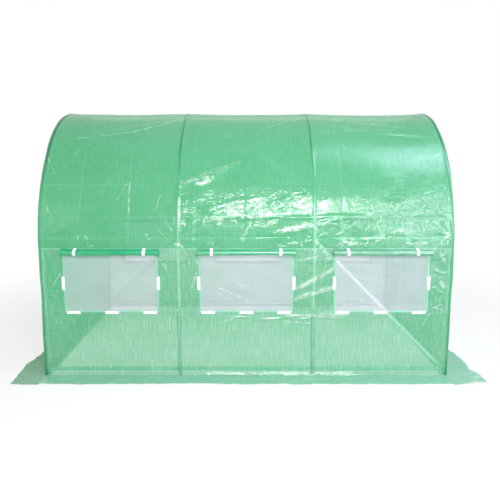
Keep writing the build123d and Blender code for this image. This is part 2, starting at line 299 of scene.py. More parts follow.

# %% [markdown]
# In some streaks the film is crushed so finely that it has gone white, and there the pale streaks are also painted
# glints, where fine crumples would catch a lamp. Modelling every crinkle would take millions of faces, so the streaks
# are only marked here, as a number on each point that the finish reads.

# %% Scuffed streaks and painted glints
# finely crumpled streaks, partly painted glints: x and s of the start, x and s of the end, reach in millimetres
scuffs_and_glints = np.array([
    [-1.215, 1.05, -1.208, 1.02, 18], [-1.158, 1.05, -1.13, 0.98, 18], [-1.19, 0.98, -1.115, 0.98, 14],
    [-0.724, 1.06, -0.695, 1.03, 18], [-1.444, 1.26, -1.42, 1.21, 18], [-0.478, 1.455, -0.281, 1.50, 24],
    [-0.45, 1.236, -0.349, 1.228, 20], [-0.47, 1.148, -0.44, 1.148, 18], [-0.348, 1.163, -0.175, 1.177, 18],
    [-0.507, 0.996, -0.464, 0.974, 20], [-0.269, 1.01, -0.218, 0.974, 20], [0.028, 1.155, -0.023, 1.025, 20],
    [0.874, 0.996, 1.134, 1.09, 26], [1.417, 1.00, 1.452, 1.054, 24], [1.164, 0.996, 1.308, 1.00, 18],
    [0.694, 0.996, 0.831, 1.00, 20], [0.245, 0.98, 0.462, 1.025, 20], [0.505, 1.017, 0.601, 0.89, 22],
    [-0.357, 0.894, -0.343, 0.82, 16], [-0.404, 0.663, -0.358, 0.79, 16], [-0.429, 0.93, -0.408, 0.849, 14],
    [-0.625, 0.879, -0.583, 0.82, 14], [-1.405, 0.693, -1.357, 0.775, 14], [-1.475, 0.633, -1.417, 0.61, 16],
    [-1.423, 0.512, -1.371, 0.512, 13], [-1.479, 0.182, -1.465, 0.15, 13], [-0.562, 0.459, -0.565, 0.36, 13],
    [-0.194, 0.413, -0.053, 0.459, 18], [-0.525, 0.505, -0.473, 0.505, 14], [0.264, 0.463, 0.758, 0.466, 16],
    [0.265, 0.42, 0.464, 0.405, 14], [1.301, 0.382, 1.342, 0.459, 13], [0.379, 0.671, 0.675, 0.827, 20],
    [0.366, 0.588, 0.679, 0.686, 20], [0.377, 0.871, 0.536, 0.908, 14], [0.441, 0.952, 0.513, 0.952, 16],
    [1.401, 0.738, 1.448, 0.678, 16], [1.389, 0.952, 1.452, 0.864, 18], [1.375, 0.52, 1.433, 0.55, 14],
    [1.455, 0.072, 1.49, 0.072, 14], [-0.30, 0.016, 0.45, 0.016, 14], [0.53, 0.016, 0.80, 0.016, 14],
])


def creasing(x, s):
    """What the finish reads as crumpled: the roughness from 0 to 1, and up to 1.5 more along the crumpled streaks,
    which the finish paints white, partly as painted glints.

    The back repeats the front turned half round, so one list serves both sides.
    """
    up, across = from_ground(s), seen_x(x, s)
    streak = np.zeros(np.shape(across))
    for x0, s0, x1, s1, reach in scuffs_and_glints:
        share = np.clip(line_place(across, up, x0, s0, x1, s1)[0], 0, 1)
        gap = np.hypot(across - x0 - share * (x1 - x0), up - s0 - share * (s1 - s0))
        streak = np.maximum(streak, bell(1000 * gap, reach))
    return roughened(x, s) + 1.5 * streak


print("scuffed streaks:", len(scuffs_and_glints), "a side")

# %% [markdown]
# Where film lies on a tube, the tube tells in it. The tubes are there behind the film and show a little by themselves.
# A second number on each point strengthens that with painted shade, where a tube keeps light from coming through,
# and with painted highlights, where the film over a tube or a brace would catch the light.

# %% Tubes that tell in the film: painted shade and painted highlight


def on_tube(x, s):
    """How a tube or a fold tells in the film: above 0 a line of painted shade, below 0 a pale line.

    Over the hoops the line is painted shade on the roof and a painted highlight beside the windows. Below the windows
    both edges of the tube carry painted shade, and a dark line runs along the sewn foot. The braces show as pale
    slanted lines of painted light by the right window in front and its opposite behind. The packing folds of the roof
    are paler, partly gone white and partly painted glints.
    """
    near, gap = from_ground(s), gap_to(x, hoop_places)
    # painted shade: over the hoops on the roof, along both tube edges below the windows, and a dark line at the foot
    dark = bell(gap, 0.0085) * np.clip((near - 1.30) / 0.5, 0, 0.85)
    edges = bell(gap - 0.010, 0.0045) * np.clip((0.50 - near) / 0.08, 0, 0.55)
    foot = 0.45 * bell(near - 0.014, 0.005)
    inner = np.abs(x) < 1
    # painted highlight beside the windows, painted light along the braces, and pale packing folds, partly gone white
    # and partly painted glints
    pale = inner * bell(gap, 0.0055) * np.clip(np.minimum(near - 0.5, 1.25 - near) / 0.1, 0, 0.5)
    slant = seen_x(x, s) + near - 1.522
    brace = 0.6 * bell(slant, 0.011) * ((near < 1.03) & (near > 0.09))
    to_fold = np.minimum(gap_to(x, fold_xs), gap_to(s, fold_ss[1:-1]))
    whitened_and_glinting = 0.12 * bell(to_fold, 0.005) * (near > 1.0) * np.clip(0.4 + drift(x * 2, s * 2, 77), 0, 1)
    return np.maximum.reduce([dark, edges, foot]) - np.maximum.reduce([pale, brace, whitened_and_glinting])


print("braces tell as lines of the braces' own slant")

# %% [markdown]
# All of this adds up to one height over the smooth arch. Two smaller things join in: below the windows the film's
# own weight combs it into fine upright ripples, and its foot flares out where it meets the skirt. Everything
# that is sewn to the cover is later drawn through the same function, so it follows the same folds.

# %% The film's rise
deepest_film, highest_film = -0.015, 0.012
hoop_ridge, toe_height, film_inset = 0.0030, 0.036, 0.0012


def film_rise(x, s):
    """The film's outward height over the smooth arch at (x, s), in metres: all of the above together."""
    near, gap = from_ground(s), gap_to(x, hoop_places)
    held = bell(gap, 0.03)
    lean = x * 0.93 + s * 0.36
    climb = s * 0.93 - x * 0.36
    creases = 0.009 * crumple(lean * 5.5, climb * 11.0, 31) + 0.0018 * crumple(lean * 13, climb * 23.0, 41)
    ripples = 0.0011 * drift(x * 38, s * 1.6, 51) * np.clip((0.52 - near) / 0.25, 0, 1)
    loose = 0.003 * drift(x * 3.1, s * 3.3, 61) + roughened(x, s) * creases + ripples
    loose = loose + packing_folds(x, s) + pulled(x, s)
    total = bay_sag(x, s) + loose * (1 - 0.85 * held) + joint_fans(x, s) * (1 - held)
    total = total + hoop_ridge * bell(gap, 0.012)
    flare = 0.014 + 0.008 * drift(x * 13, s * 9, 65) + 0.004 * drift(x * 41, s * 0, 66)
    flare = flare * np.clip(1.6 - np.abs(seen_x(x, s) - 0.2) / 0.6, 0.25, 1)
    toe = np.clip(flare, 0.002, 0.02) * np.clip(1 - near / toe_height, 0, 1) ** 2
    return np.clip(total, deepest_film, highest_film) * np.clip(near / 0.06, 0, 1) + toe


def cover_point(x, s, lift=0.0):
    """A point of the cover: the arch at s, moved outwards by the film's rise and by lift.

    It also drifts a little along x, and more at the two ends, so that the cover's edges aren't ruled lines.
    """
    x, s = np.broadcast_arrays(np.asarray(x, float), np.asarray(s, float))
    free = np.clip((half_length - np.abs(x)) / 0.05, 0, 1)
    lip = np.clip((np.abs(x) - half_length + 0.06) / 0.06, 0, 1) ** 2 * np.sign(x)
    shift = 0.0032 * drift(x * 3.4, s * 7.0, 73) * free + lip * 0.006 * (1 + drift(s * 6.5, x, 75))
    depth, height, out_y, out_z = arch(s)
    rise = film_rise(x, s) + lift - film_inset
    return np.stack([x + shift, depth + out_y * rise, height + out_z * rise], -1)


trial = film_rise(*np.meshgrid(np.linspace(-1.5, 1.5, 300), np.linspace(0, cover_length, 500)))
print("film rise from", round(trial.min() * 1000, 1), "to", round(trial.max() * 1000, 1), "mm")

# %% [markdown]
# Every piece below is a grid of points, or several, turned into one mesh. A patch keeps its points, the flat
# film coordinates that its pattern follows, and its faces. Columns run along one direction and rows along the
# other, so that column direction times row direction points outwards.

# %% From grids to pieces


def patch(points, flat=None, closed=False, keep=None, capped=False):
    """A grid of points as points, flat coordinates, quads and caps; closed joins the last column to the first."""
    rows, columns = points.shape[:2]
    index = np.arange(rows * columns).reshape(rows, columns)
    flat = np.zeros((rows, columns, 2)) if flat is None else flat
    caps = [index[0][::-1].tolist(), index[-1].tolist()] if capped else []
    if closed:
        index = np.concatenate([index, index[:, :1]], axis=1)
    quads = np.stack([index[:-1, :-1], index[:-1, 1:], index[1:, 1:], index[1:, :-1]], axis=-1)
    quads = quads.reshape(-1, 4) if keep is None else quads[keep]
    points, flat = points.reshape(-1, 3), flat.reshape(-1, 2)
    if keep is not None:
        used, renumbered = np.unique(quads, return_inverse=True)
        points, flat, quads = points[used], flat[used], renumbered.reshape(-1, 4)
    return points, flat, quads, caps


def make_piece(name, patches, finish, slot, replaced=(), **amounts):
    """One object from patches, with its finish, riding on the tunnel in place of the solids it replaces.

    Each of amounts is a function of the flat coordinates whose values the finish reads under the same name.
    """
    starts = np.cumsum([0] + [len(p[0]) for p in patches])
    points = np.concatenate([p[0] for p in patches])
    flat = np.concatenate([p[1] for p in patches])
    faces = [face for p, start in zip(patches, starts) for face in (p[2] + start).tolist()]
    faces += [[int(i + start) for i in cap] for p, start in zip(patches, starts) for cap in p[3]]
    mesh = bpy.data.meshes.new(name)
    mesh.from_pydata(points.tolist(), [], faces)
    corner = np.zeros(len(mesh.loops), int)
    mesh.loops.foreach_get("vertex_index", corner)
    mesh.uv_layers.new(name="flat").data.foreach_set("uv", flat[corner].astype(np.float32).ravel())
    for amount, rule in amounts.items():
        values = np.asarray(rule(flat[:, 0], flat[:, 1]), np.float32)
        mesh.attributes.new(amount, "FLOAT", "POINT").data.foreach_set("value", values)
    mesh.shade_smooth()
    mesh.materials.append(finish)
    piece = bpy.data.objects.new(name, mesh)
    bpy.context.scene.collection.objects.link(piece)
    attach(piece, "root")
    if replaced:
        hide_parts(*replaced)
    print(name, "has", len(faces), "faces")
    return piece


def spaced(stops, step):
    """Numbers from the first stop to the last, evenly spaced between stops and never wider than step."""
    runs = [np.linspace(a, b, max(2, int(np.ceil((b - a) / step)) + 1))[:-1] for a, b in zip(stops, stops[1:])]
    return np.concatenate(runs + [[stops[-1]]])


print("patches and pieces are ready")

# %% [markdown]
# A finish is a small graph of shader nodes. It could be drawn by hand in the shader editor, but a script can
# be run again. One helper adds a node, sets its options and fills its sockets with numbers or with other nodes'
# outputs. The others are the few steps that every recipe below repeats.

# %% A helper for finishes


def new_finish(name):
    """An empty node material and its tree."""
    finish = bpy.data.materials.new(name)
    finish.use_nodes = True
    finish.node_tree.nodes.clear()
    return finish, finish.node_tree


def put(tree, kind, sockets=None, **options):
    """Add a shader node, set its options, then set or link its sockets. Returns the node."""
    node = tree.nodes.new("ShaderNode" + kind)
    for option, value in options.items():
        setattr(node, option, value)
    for socket, value in (sockets or {}).items():
        if isinstance(value, bpy.types.NodeSocket):
            tree.links.new(value, node.inputs[socket])
        else:
            node.inputs[socket].default_value = value
    return node


def sums(tree, operation, first, second=0.5):
    """One arithmetic node on two numbers or sockets."""
    return put(tree, "Math", {0: first, 1: second}, operation=operation).outputs[0]


def times(tree, first, second):
    """First times second."""
    return sums(tree, "MULTIPLY", first, second)


def plus(tree, first, second):
    """First plus second."""
    return sums(tree, "ADD", first, second)


def larger(tree, first, second):
    """The larger of the two."""
    return sums(tree, "MAXIMUM", first, second)


def ramp(tree, value, low, high, to_low=0.0, to_high=1.0):
    """Stretch a value smoothly from one range to another, held at both ends."""
    ranges = {0: value, 1: low, 2: high, 3: to_low, 4: to_high}
    return put(tree, "MapRange", ranges, interpolation_type="SMOOTHSTEP").outputs[0]


def blend_colours(tree, share, first, second):
    """Mix two colours by a share."""
    return put(tree, "Mix", {0: share, 6: first, 7: second}, data_type="RGBA").outputs[2]


def stretched_noise(tree, place, scale, detail=2.0):
    """Noise on coordinates that are scaled by different amounts along each axis."""
    turned = put(tree, "Mapping", {"Vector": place, "Scale": scale})
    return put(tree, "TexNoise", {"Vector": turned.outputs[0], "Scale": 1.0, "Detail": detail}).outputs[0]


def flat_place(tree):
    """The flat coordinates that a piece was made with."""
    return put(tree, "UVMap", uv_map="flat").outputs[0]


def blend_shaders(tree, share, first, second):
    """Mix two shader nodes by a share."""
    return put(tree, "MixShader", {0: share, 1: first.outputs[0], 2: second.outputs[0]})


def show(tree, shader):
    """End a finish: what this shader node gives is what is seen."""
    put(tree, "OutputMaterial", {"Surface": shader.outputs[0]})


print("finish helpers are ready")

# %% [markdown]
# The cover is clear polyethylene with a green tint, laid over an open scrim of woven tapes that stops tears. The
# scrim is drawn at its real pitch on the film's own flat coordinates. The fine crinkles are too small to model,
# so scattered cells give them: a cell's edge is a crease, and each cell leans its own way like a facet.

# %% Patterns in the film


def scrim(tree, flat, pitch, thread):
    """One on the threads of a square net of the given pitch, nothing in its openings."""
    split = put(tree, "SeparateXYZ", {0: flat})
    lines = [ramp(tree, sums(tree, "PINGPONG", split.outputs[i], pitch / 2), thread * 0.4, thread, 1.0, 0.0)
             for i in (0, 1)]
    return larger(tree, lines[0], lines[1])


def crease_lines(tree, flat, scale, width):
    """Straight raised lines between scattered cells: one on a cell's edge, nothing away from it."""
    turned = put(tree, "Mapping", {"Vector": flat, "Scale": scale, "Rotation": (0, 0, 0.4)}).outputs[0]
    cells = put(tree, "TexVoronoi", {"Vector": turned, "Scale": 1.0}, feature="DISTANCE_TO_EDGE")
    return ramp(tree, cells.outputs["Distance"], 0.0, width, 1.0, 0.0)


def scattered_cells(tree, flat, scale, turn):
    """Scattered cells: the scaled and turned coordinates that they lie in, and what is known of each cell."""
    turned = put(tree, "Mapping", {"Vector": flat, "Scale": scale, "Rotation": (0, 0, turn)}).outputs[0]
    cells = put(tree, "TexVoronoi", {"Vector": turned, "Scale": 1.0}, feature="F1", voronoi_dimensions="2D")
    return turned, cells.outputs


def vectors(tree, operation, *inputs):
    """One vector node on some vectors or sockets. Returns its outputs."""
    return put(tree, "VectorMath", dict(enumerate(inputs)), operation=operation).outputs


def facets(tree, flat, scale, turn):
    """Flat facets: each scattered cell leans its own way, as the flats between creases do."""
    turned, cells = scattered_cells(tree, flat, scale, turn)
    gap = vectors(tree, "SUBTRACT", turned, cells["Position"])[0]
    lean = vectors(tree, "SUBTRACT", cells["Color"], (0.5, 0.5, 0.5))[0]
    return vectors(tree, "DOT_PRODUCT", gap, lean)["Value"]


def flakes(tree, flat, scale, turn):
    """Small flat flakes: one in fewer than half of the scattered cells, nothing in the others."""
    cells = scattered_cells(tree, flat, scale, turn)[1]
    return ramp(tree, put(tree, "SeparateColor", {0: cells["Color"]}).outputs[0], 0.50, 0.62)


print("scrim, creases, facets and flakes are ready")

# %% [markdown]
# Old folds have gone white along their length, and some pale lines are painted glints where a fold would catch a
# lamp. Each has its own place on the film. They could be painted, but a picture has one fixed sharpness. Here each
# line is straight between two places, made wavy and worn by noise. The back repeats the front turned half round, so
# one list serves both sides.

# %% Whitened folds and painted glints


def half_turned(tree, flat):
    """Film coordinates with the back half turned onto the front: -x behind the ridge, s from the nearer ground."""
    split = put(tree, "SeparateXYZ", {0: flat}).outputs
    side = sums(tree, "SIGN", sums(tree, "SUBTRACT", ridge_s, split[1]))
    near = sums(tree, "PINGPONG", split[1], ridge_s)
    return put(tree, "CombineXYZ", {0: times(tree, split[0], side), 1: near}).outputs[0]


def drawn_lines(tree, place, lines):
    """The strongest of some straight lines at a place: each is x and s of both ends, half width in mm, strength."""
    wander = put(tree, "TexNoise", {"Vector": place, "Scale": 9.0, "Detail": 2.0}).outputs["Color"]
    wander = vectors(tree, "SUBTRACT", wander, (0.5, 0.5, 0.5))[0]
    worn = ramp(tree, stretched_noise(tree, place, (24, 24, 1), 2.0), 0.38, 0.62, 0.15, 1.0)
    place = vectors(tree, "MULTIPLY_ADD", wander, (0.045, 0.045, 0), place)[0]
    strongest = 0.0
    for x0, s0, x1, s1, half, strength in lines:
        run, slope = np.hypot(x1 - x0, s1 - s0), np.arctan2(s1 - s0, x1 - x0)
        laid_on = {"Vector": place, "Location": (x0, s0, 0), "Rotation": (0, 0, slope), "Scale": (run, half / 1000, 1)}
        along = put(tree, "Mapping", laid_on, vector_type="TEXTURE")
        split = put(tree, "SeparateXYZ", {0: along.outputs[0]}).outputs
        across = ramp(tree, sums(tree, "ABSOLUTE", split[1]), 0.2, 1.0, strength, 0.0)
        ends = ramp(tree, times(tree, split[0], sums(tree, "SUBTRACT", 1.0, split[0])), 0.0, 0.12)
        strongest = larger(tree, strongest, times(tree, across, ends))
    return times(tree, strongest, worn)


print("whitened folds can be drawn")

# %% [markdown]
# Some light bounces off the film, some is scattered through it, and some passes straight through, so hoops and
# floor show faintly behind it. Glass would bend the view and take long to render. Film hardly bends it, so three
# simple shaders are mixed: a glossy one, a translucent one and a transparent one.

# %% The recipe for film
# tints: film gone white and painted glints; painted shade over tubes; painted highlight and whitening
whitened_and_glint_tint, shaded_tint, highlight_and_whitening_tint = (0.80, 0.92, 0.82, 1), (0.010, 0.20, 0.11, 1), (0.66, 0.90, 0.78, 1)
scrim_pitch, scrim_thread, crinkle_height = 0.013, 0.0028, 0.003


def crinkled(tree, flat, threads, creased, scuffed_and_glinting):
    """Fine relief: creases and facets that grow with how crumpled the film is, scuffs, and a trace of the threads."""
    wrinkles = plus(tree, crease_lines(tree, flat, (10, 17, 1), 0.09),
                    times(tree, crease_lines(tree, flat, (31, 47, 1), 0.16), 0.45))
    grain = plus(tree, facets(tree, flat, (8, 17, 1), 0.45), facets(tree, flat, (15, 9, 1), -0.5))
    height = plus(tree, times(tree, wrinkles, ramp(tree, creased, 0.1, 0.9, 0.12, 0.6)),
                  times(tree, grain, ramp(tree, creased, 0.0, 1.0, 0.6, 4.2)))
    height = plus(tree, height, times(tree, scuffed_and_glinting, 1.6))
    return plus(tree, height, times(tree, threads, 0.06))


def film_finish(name, tint, thread_tint, glow, clear, clear_tint, scatter, streaks, crinkle=0.5, shine=1.0, lines=()):
    """Film: gloss over a tint, a scattered share, and a clear share that is less on the threads.

    lines are folds gone white and lines of painted glints. Crumpled streaks are broken crease lines and flakes of the
    same white, partly gone white and partly painted glints.
    """
    finish, tree = new_finish(name)
    flat = flat_place(tree)
    threads = scrim(tree, flat, scrim_pitch, scrim_thread)
    upright = ramp(tree, stretched_noise(tree, flat, (130, 9, 1)), 0.46, 0.74, 0.0, 0.50)
    level = ramp(tree, stretched_noise(tree, flat, (9, 130, 1)), 0.46, 0.74, 0.0, 0.15)
    cloud = stretched_noise(tree, flat, (3.5, 3.5, 1), 3.0)
    pale = plus(tree, upright, plus(tree, level, ramp(tree, cloud, 0.35, 0.65, 0.0, 0.12)))
    share = plus(tree, times(tree, pale, streaks), times(tree, threads, 0.13))
    # the tube number paints shade towards the dark tint above 0, and highlight and whitening towards the pale tint
    # below 0
    backed = put(tree, "Attribute", attribute_name="backed").outputs["Fac"]
    colour = blend_colours(tree, backed, blend_colours(tree, share, tint, thread_tint), shaded_tint)
    colour = blend_colours(tree, times(tree, backed, -1.0), colour, highlight_and_whitening_tint)
    creased = put(tree, "Attribute", attribute_name="creased").outputs["Fac"]
    broken = ramp(tree, stretched_noise(tree, flat, (26, 26, 1), 1.0), 0.36, 0.54)
    chipped = larger(tree, times(tree, flakes(tree, flat, (36, 74, 1), 0.7), 0.8),
                     crease_lines(tree, flat, (19, 29, 1), 0.15))
    # the streaks' white is partly film gone white and partly painted glints
    scuffed_and_glinting = times(tree, times(tree, ramp(tree, creased, 1.0, 2.0), broken), chipped)
    # pale crumple streaks and fold lines: partly film gone white, partly painted glints
    whitened_and_glinting = larger(tree, times(tree, scuffed_and_glinting, 0.95), drawn_lines(tree, half_turned(tree, flat), lines))
    colour = blend_colours(tree, whitened_and_glinting, colour, whitened_and_glint_tint)
    bump = put(tree, "Bump", {"Strength": crinkle, "Distance": crinkle_height,
                              "Height": crinkled(tree, flat, threads, creased, scuffed_and_glinting)}).outputs[0]
    gloss = put(tree, "BsdfPrincipled", {"Base Color": colour, "Roughness": ramp(tree, cloud, 0.3, 0.7, 0.16, 0.28),
                                         "Specular IOR Level": 0.5 * shine, "Coat Weight": shine,
                                         "Coat Roughness": 0.09, "Coat IOR": 1.75,
                                         "Normal": bump, "Coat Normal": bump})
    # the painted shade over tubes also dims the light scattered through the film
    lit = blend_colours(tree, ramp(tree, backed, 0.0, 1.0, 0.5, 0.0), colour, glow)
    lit = blend_colours(tree, whitened_and_glinting, lit, whitened_and_glint_tint)
    body = blend_shaders(tree, scatter, gloss, put(tree, "BsdfTranslucent", {"Color": lit}))
    open_share = ramp(tree, threads, 0.0, 1.0, clear, clear * 0.85)
    show(tree, blend_shaders(tree, open_share, body, put(tree, "BsdfTransparent", {"Color": clear_tint})))
    return finish


print("the recipe for film is ready")

# %% [markdown]
# The recipe makes every film of the cover. The roof is dense, the walls below the seam are clearer, and the end
# walls are deeper in colour, the left one duller than the right. The skirts are greyer, partly with soil and partly
# with painted shade. The left one is darker again with painted shade, for it lies in the tunnel's shadow.
# The hems are folded double, so they are paler and hide what is behind them.

# %% The films of the cover
# whitened folds and painted glint lines: x and s of the start, x and s of the end, half width in millimetres, strength
roof_lines = ((-0.505, 2.168, -0.93, 1.955, 14, 0.45), (-0.88, 1.975, -1.337, 1.863, 7, 0.5),
              (-0.49, 1.435, -0.02, 1.635, 34, 0.28), (-1.43, 2.40, -0.76, 2.40, 34, 0.3),
              (-0.46, 2.36, 0.32, 2.43, 26, 0.25),
              (-1.191, 1.816, -1.309, 1.707, 5, 0.55), (-1.483, 1.673, -1.399, 1.498, 5, 0.35),
              (-0.856, 1.473, -0.973, 1.28, 6, 0.45), (-0.853, 1.48, -0.852, 1.20, 6, 0.6),
              (-0.613, 1.363, -0.667, 1.236, 5, 0.5), (0.512, 2.254, 1.256, 2.029, 10, 0.4),
              (0.512, 2.254, 0.114, 2.013, 8, 0.35), (0.533, 1.953, 1.206, 2.013, 6, 0.35),
              (0.187, 1.068, 0.80, 1.17, 8, 0.75), (0.766, 1.163, 1.45, 1.42, 12, 0.2),
              (1.164, 1.17, 1.321, 1.303, 5, 0.45), (1.16, 1.17, 1.446, 1.177, 5, 0.45),
              (0.028, 1.155, -0.023, 1.025, 9, 0.5), (-0.637, 1.119, -0.558, 1.003, 4, 0.5))
end_fold_ys, end_fold_zs = (-0.62, -0.21, 0.23, 0.66), (0.42, 0.93, 1.40)
end_lines = tuple((y, 0.02, y + 0.01, 1.72, 5, 0.22) for y in end_fold_ys)
end_lines += tuple((-0.97, z, 0.97, z - 0.01, 5, 0.22) for z in end_fold_zs)
# the wall lines are mostly painted glints: between the windows, below the sills and along the foot
wall_lines = ((0.379, 0.671, 0.675, 0.827, 21, 0.95), (0.366, 0.588, 0.679, 0.686, 17, 0.95),
              (0.377, 0.871, 0.536, 0.908, 10, 0.75), (0.264, 0.461, 0.758, 0.466, 14, 0.85),
              (0.265, 0.42, 0.464, 0.405, 6, 0.5), (-0.194, 0.413, -0.053, 0.459, 9, 0.6),
              (-0.562, 0.47, -0.565, 0.35, 6, 0.6), (-0.88, 0.46, -0.886, 0.27, 5, 0.35),
              (-0.404, 0.663, -0.358, 0.79, 6, 0.5), (-0.30, 0.018, 0.45, 0.018, 10, 0.8),
              (0.53, 0.018, 0.80, 0.020, 10, 0.8))
green_film = film_finish("green_film", (0.062, 0.427, 0.190, 1), (0.40, 0.72, 0.52, 1), (0.20, 0.715, 0.40, 1),
                         clear=0.16, clear_tint=(0.52, 0.90, 0.70, 1), scatter=0.48, streaks=0.4, lines=roof_lines)
end_film = film_finish("end_wall_film", (0.032, 0.38, 0.170, 1), (0.30, 0.64, 0.44, 1), (0.08, 0.58, 0.30, 1),
                       clear=0.10, clear_tint=(0.50, 0.88, 0.68, 1), scatter=0.30, streaks=0.4, lines=end_lines)
dull_end_film = film_finish("dull_end_wall_film", (0.032, 0.50, 0.215, 1), (0.22, 0.66, 0.42, 1), (0.07, 0.80, 0.38, 1),
                            clear=0.10, clear_tint=(0.15, 0.80, 0.50, 1), scatter=0.30, streaks=0.4, shine=0.3,
                            lines=end_lines)
wall_film = film_finish("clearer_wall_film", (0.085, 0.47, 0.235, 1), (0.56, 0.77, 0.61, 1), (0.27, 0.76, 0.50, 1),
                        clear=0.40, clear_tint=(0.645, 0.87, 0.74, 1), scatter=0.40, streaks=0.9, lines=wall_lines)
ground_film = film_finish("ground_film", (0.155, 0.49, 0.31, 1), (0.40, 0.64, 0.50, 1), (0.28, 0.63, 0.46, 1),
                          clear=0.12, clear_tint=(0.62, 0.86, 0.74, 1), scatter=0.22, streaks=0.8, shine=0.25)
# painted shade: the left skirt's copy is darker and greyer, for it lies in the tunnel's shadow
shaded_skirt_film = film_finish("shaded_ground_film", (0.17, 0.42, 0.25, 1), (0.34, 0.46, 0.36, 1), (0.24, 0.46, 0.33, 1),
                         clear=0.08, clear_tint=(0.62, 0.86, 0.74, 1), scatter=0.18, streaks=0.8, shine=0.1)
hem_film = film_finish("doubled_hem_film", (0.24, 0.63, 0.42, 1), (0.52, 0.80, 0.65, 1), (0.40, 0.80, 0.58, 1),
                       clear=0.06, clear_tint=(0.50, 0.86, 0.68, 1), scatter=0.30, streaks=0.5, crinkle=0.3)
films = (green_film, end_film, dull_end_film, wall_film, ground_film, shaded_skirt_film, hem_film)
print("made", [finish.name for finish in films])

# %% [markdown]
# The roof is the part of the cover from one window seam over the hoops to the other. It could be simulated as
# cloth, but nothing in it moves, so the functions above give its folds directly. The ridge, the shoulders and
# every fold are one continuous sheet.

# %% Roof sheet
seam_s = 0.96


def on_cover(x, s, lift=0.0, keep=None):
    """A patch of the cover through a grid of x and s; its pattern follows both."""
    return patch(cover_point(x, s, lift), np.stack([x, s], -1), keep=keep)


def finer(stops, step, lines):
    """Evenly spaced numbers with extra ones close to given lines, so that sharp ridges there keep their shape."""
    beside = np.array([-0.020, -0.014, -0.009, -0.0045, 0, 0.0045, 0.009, 0.014, 0.020])
    extra = (np.asarray(lines)[:, None] + beside).ravel()
    base = spaced(stops, step)
    base = base[gap_to(base, lines) > 0.024]
    inside = extra[(extra > stops[0] + 0.002) & (extra < stops[-1] - 0.002)]
    return np.unique(np.concatenate([base, inside, [stops[0], stops[-1]]]).round(5))


roof_xs = finer([-half_length, half_length], 0.0125, [*hoop_places, *fold_xs])
roof_ss = finer([seam_s, cover_length - seam_s], 0.0125, fold_ss[(fold_ss > 1.0) & (fold_ss < 4.0)])
roof = make_piece("roof_film", [on_cover(*np.meshgrid(roof_xs, roof_ss))], green_film, "green_sheet", ["roof_sheet"],
                  creased=creasing, backed=on_tube)

# %% [markdown]
# Each side wall hangs from that seam and has three openings. The grid lines run exactly along the edges of
# the openings, so leaving out the faces between them cuts clean windows, where a boolean cut would leave ragged
# triangles. More lines run by the hoops, at the foot and below the sill, where the film is most creased.

# %% Side walls
sides = {"front": 1, "back": -1}
bay_centres = hoop_places[:3] + bay_length / 2
window_width, window_low, window_high = 0.665, 0.50, 0.945
window_edges = np.sort(np.concatenate([bay_centres - window_width / 2, bay_centres + window_width / 2]))


def between(values, edges):
    """True for each step of a line of values that lies between a pair of edges."""
    middle = (values[:-1] + values[1:]) / 2
    return np.any([(middle > a) & (middle < b) for a, b in zip(edges[::2], edges[1::2])], axis=0)


def side_s(side, level):
    """Film length of a level on the front wall, or of the same level on the back wall."""
    return level if side == "front" else cover_length - level


beside_hoops = (hoop_places[:, None] + [-0.014, -0.010, -0.0055, 0, 0.0055, 0.010, 0.014]).ravel()
wall_xs = spaced([-half_length, *window_edges, half_length], 0.0075)
wall_xs = wall_xs[gap_to(wall_xs, hoop_places) > 0.017]
wall_xs = np.unique(np.concatenate([wall_xs, beside_hoops, [-half_length, half_length]]).round(5))
for side in sides:
    stops = np.sort(side_s(side, np.array([0.0, window_low, window_high, seam_s])))
    foot, below_sill = np.arange(0, toe_height, 0.004), np.arange(0.405, 0.48, 0.0036)
    finer_ss = side_s(side, np.concatenate([foot, below_sill]))
    wall_ss = np.unique(np.concatenate([spaced(list(stops), 0.0075), finer_ss]).round(5))
    opening = between(wall_ss, stops[1:3])[:, None] & between(wall_xs, window_edges)[None, :]
    wall = on_cover(*np.meshgrid(wall_xs, wall_ss), keep=~opening)
    make_piece(f"{side}_wall_film", [wall], wall_film, "green_sheet", [f"{side}_wall_sheet"],
                             creased=creasing, backed=on_tube)

# %% [markdown]
# The two ends are flat arched sheets sewn to the cover all round. Their columns stand on the ground and end
# under the arch, so the outline is exact. They hang slack, with soft swags from the crown and a few creases.
# The right end has the door opening: a lower band of rows ends at the door's head, and its middle is left out.

# %% End walls
end_signs = {"left": -1, "right": 1}
door_half, door_head = 0.40, 1.75
end_inset, end_fold_height = 0.0015, 0.0022


def end_rise(y, z, seed):
    """How far an end sheet stands out or in: slack swags, crumples and folds, nothing at its sewn edge."""
    swag = 0.006 * drift(y * 2.4 + 0.8 * z, z * 1.8, seed)
    creases = 0.006 * crumple(y * 5 + z * 1.5, z * 4 - y * 1.3, seed + 1) + 0.002 * crumple(y * 15, z * 12, seed + 3)
    folds = sum(end_fold_height * (-1) ** n * sharp(y - place, 0.010) for n, place in enumerate(end_fold_ys))
    folds = folds + sum(end_fold_height * (-1) ** n * sharp(z - place, 0.010) for n, place in enumerate(end_fold_zs))
    return swag + creases + folds


crown_s = np.linspace(leg_height, ridge_s, 400)
crown_y, crown_z = arch(crown_s)[:2]


def arch_top(y):
    """Height of the arch over a place y across the tunnel."""
    return np.interp(-np.abs(y), crown_y, crown_z)


def end_point(end, y, z, lift=0.0):
    """A point of an end sheet: the flat end moved out by its rise, held at its rim and at the ground."""
    rim = np.clip(np.minimum((arch_top(y) - z) / 0.10, (half_width - np.abs(y)) / 0.10), 0, 1)
    rise = np.clip(end_rise(y, z, 81 if end < 0 else 91), -0.007, 0.010) * rim * np.clip(z / 0.05, 0, 1)
    x = end * (half_length - end_inset + rise + lift)
    return np.stack([x, y * (1 - film_inset), np.minimum(z, arch_top(y) - film_inset)], -1)


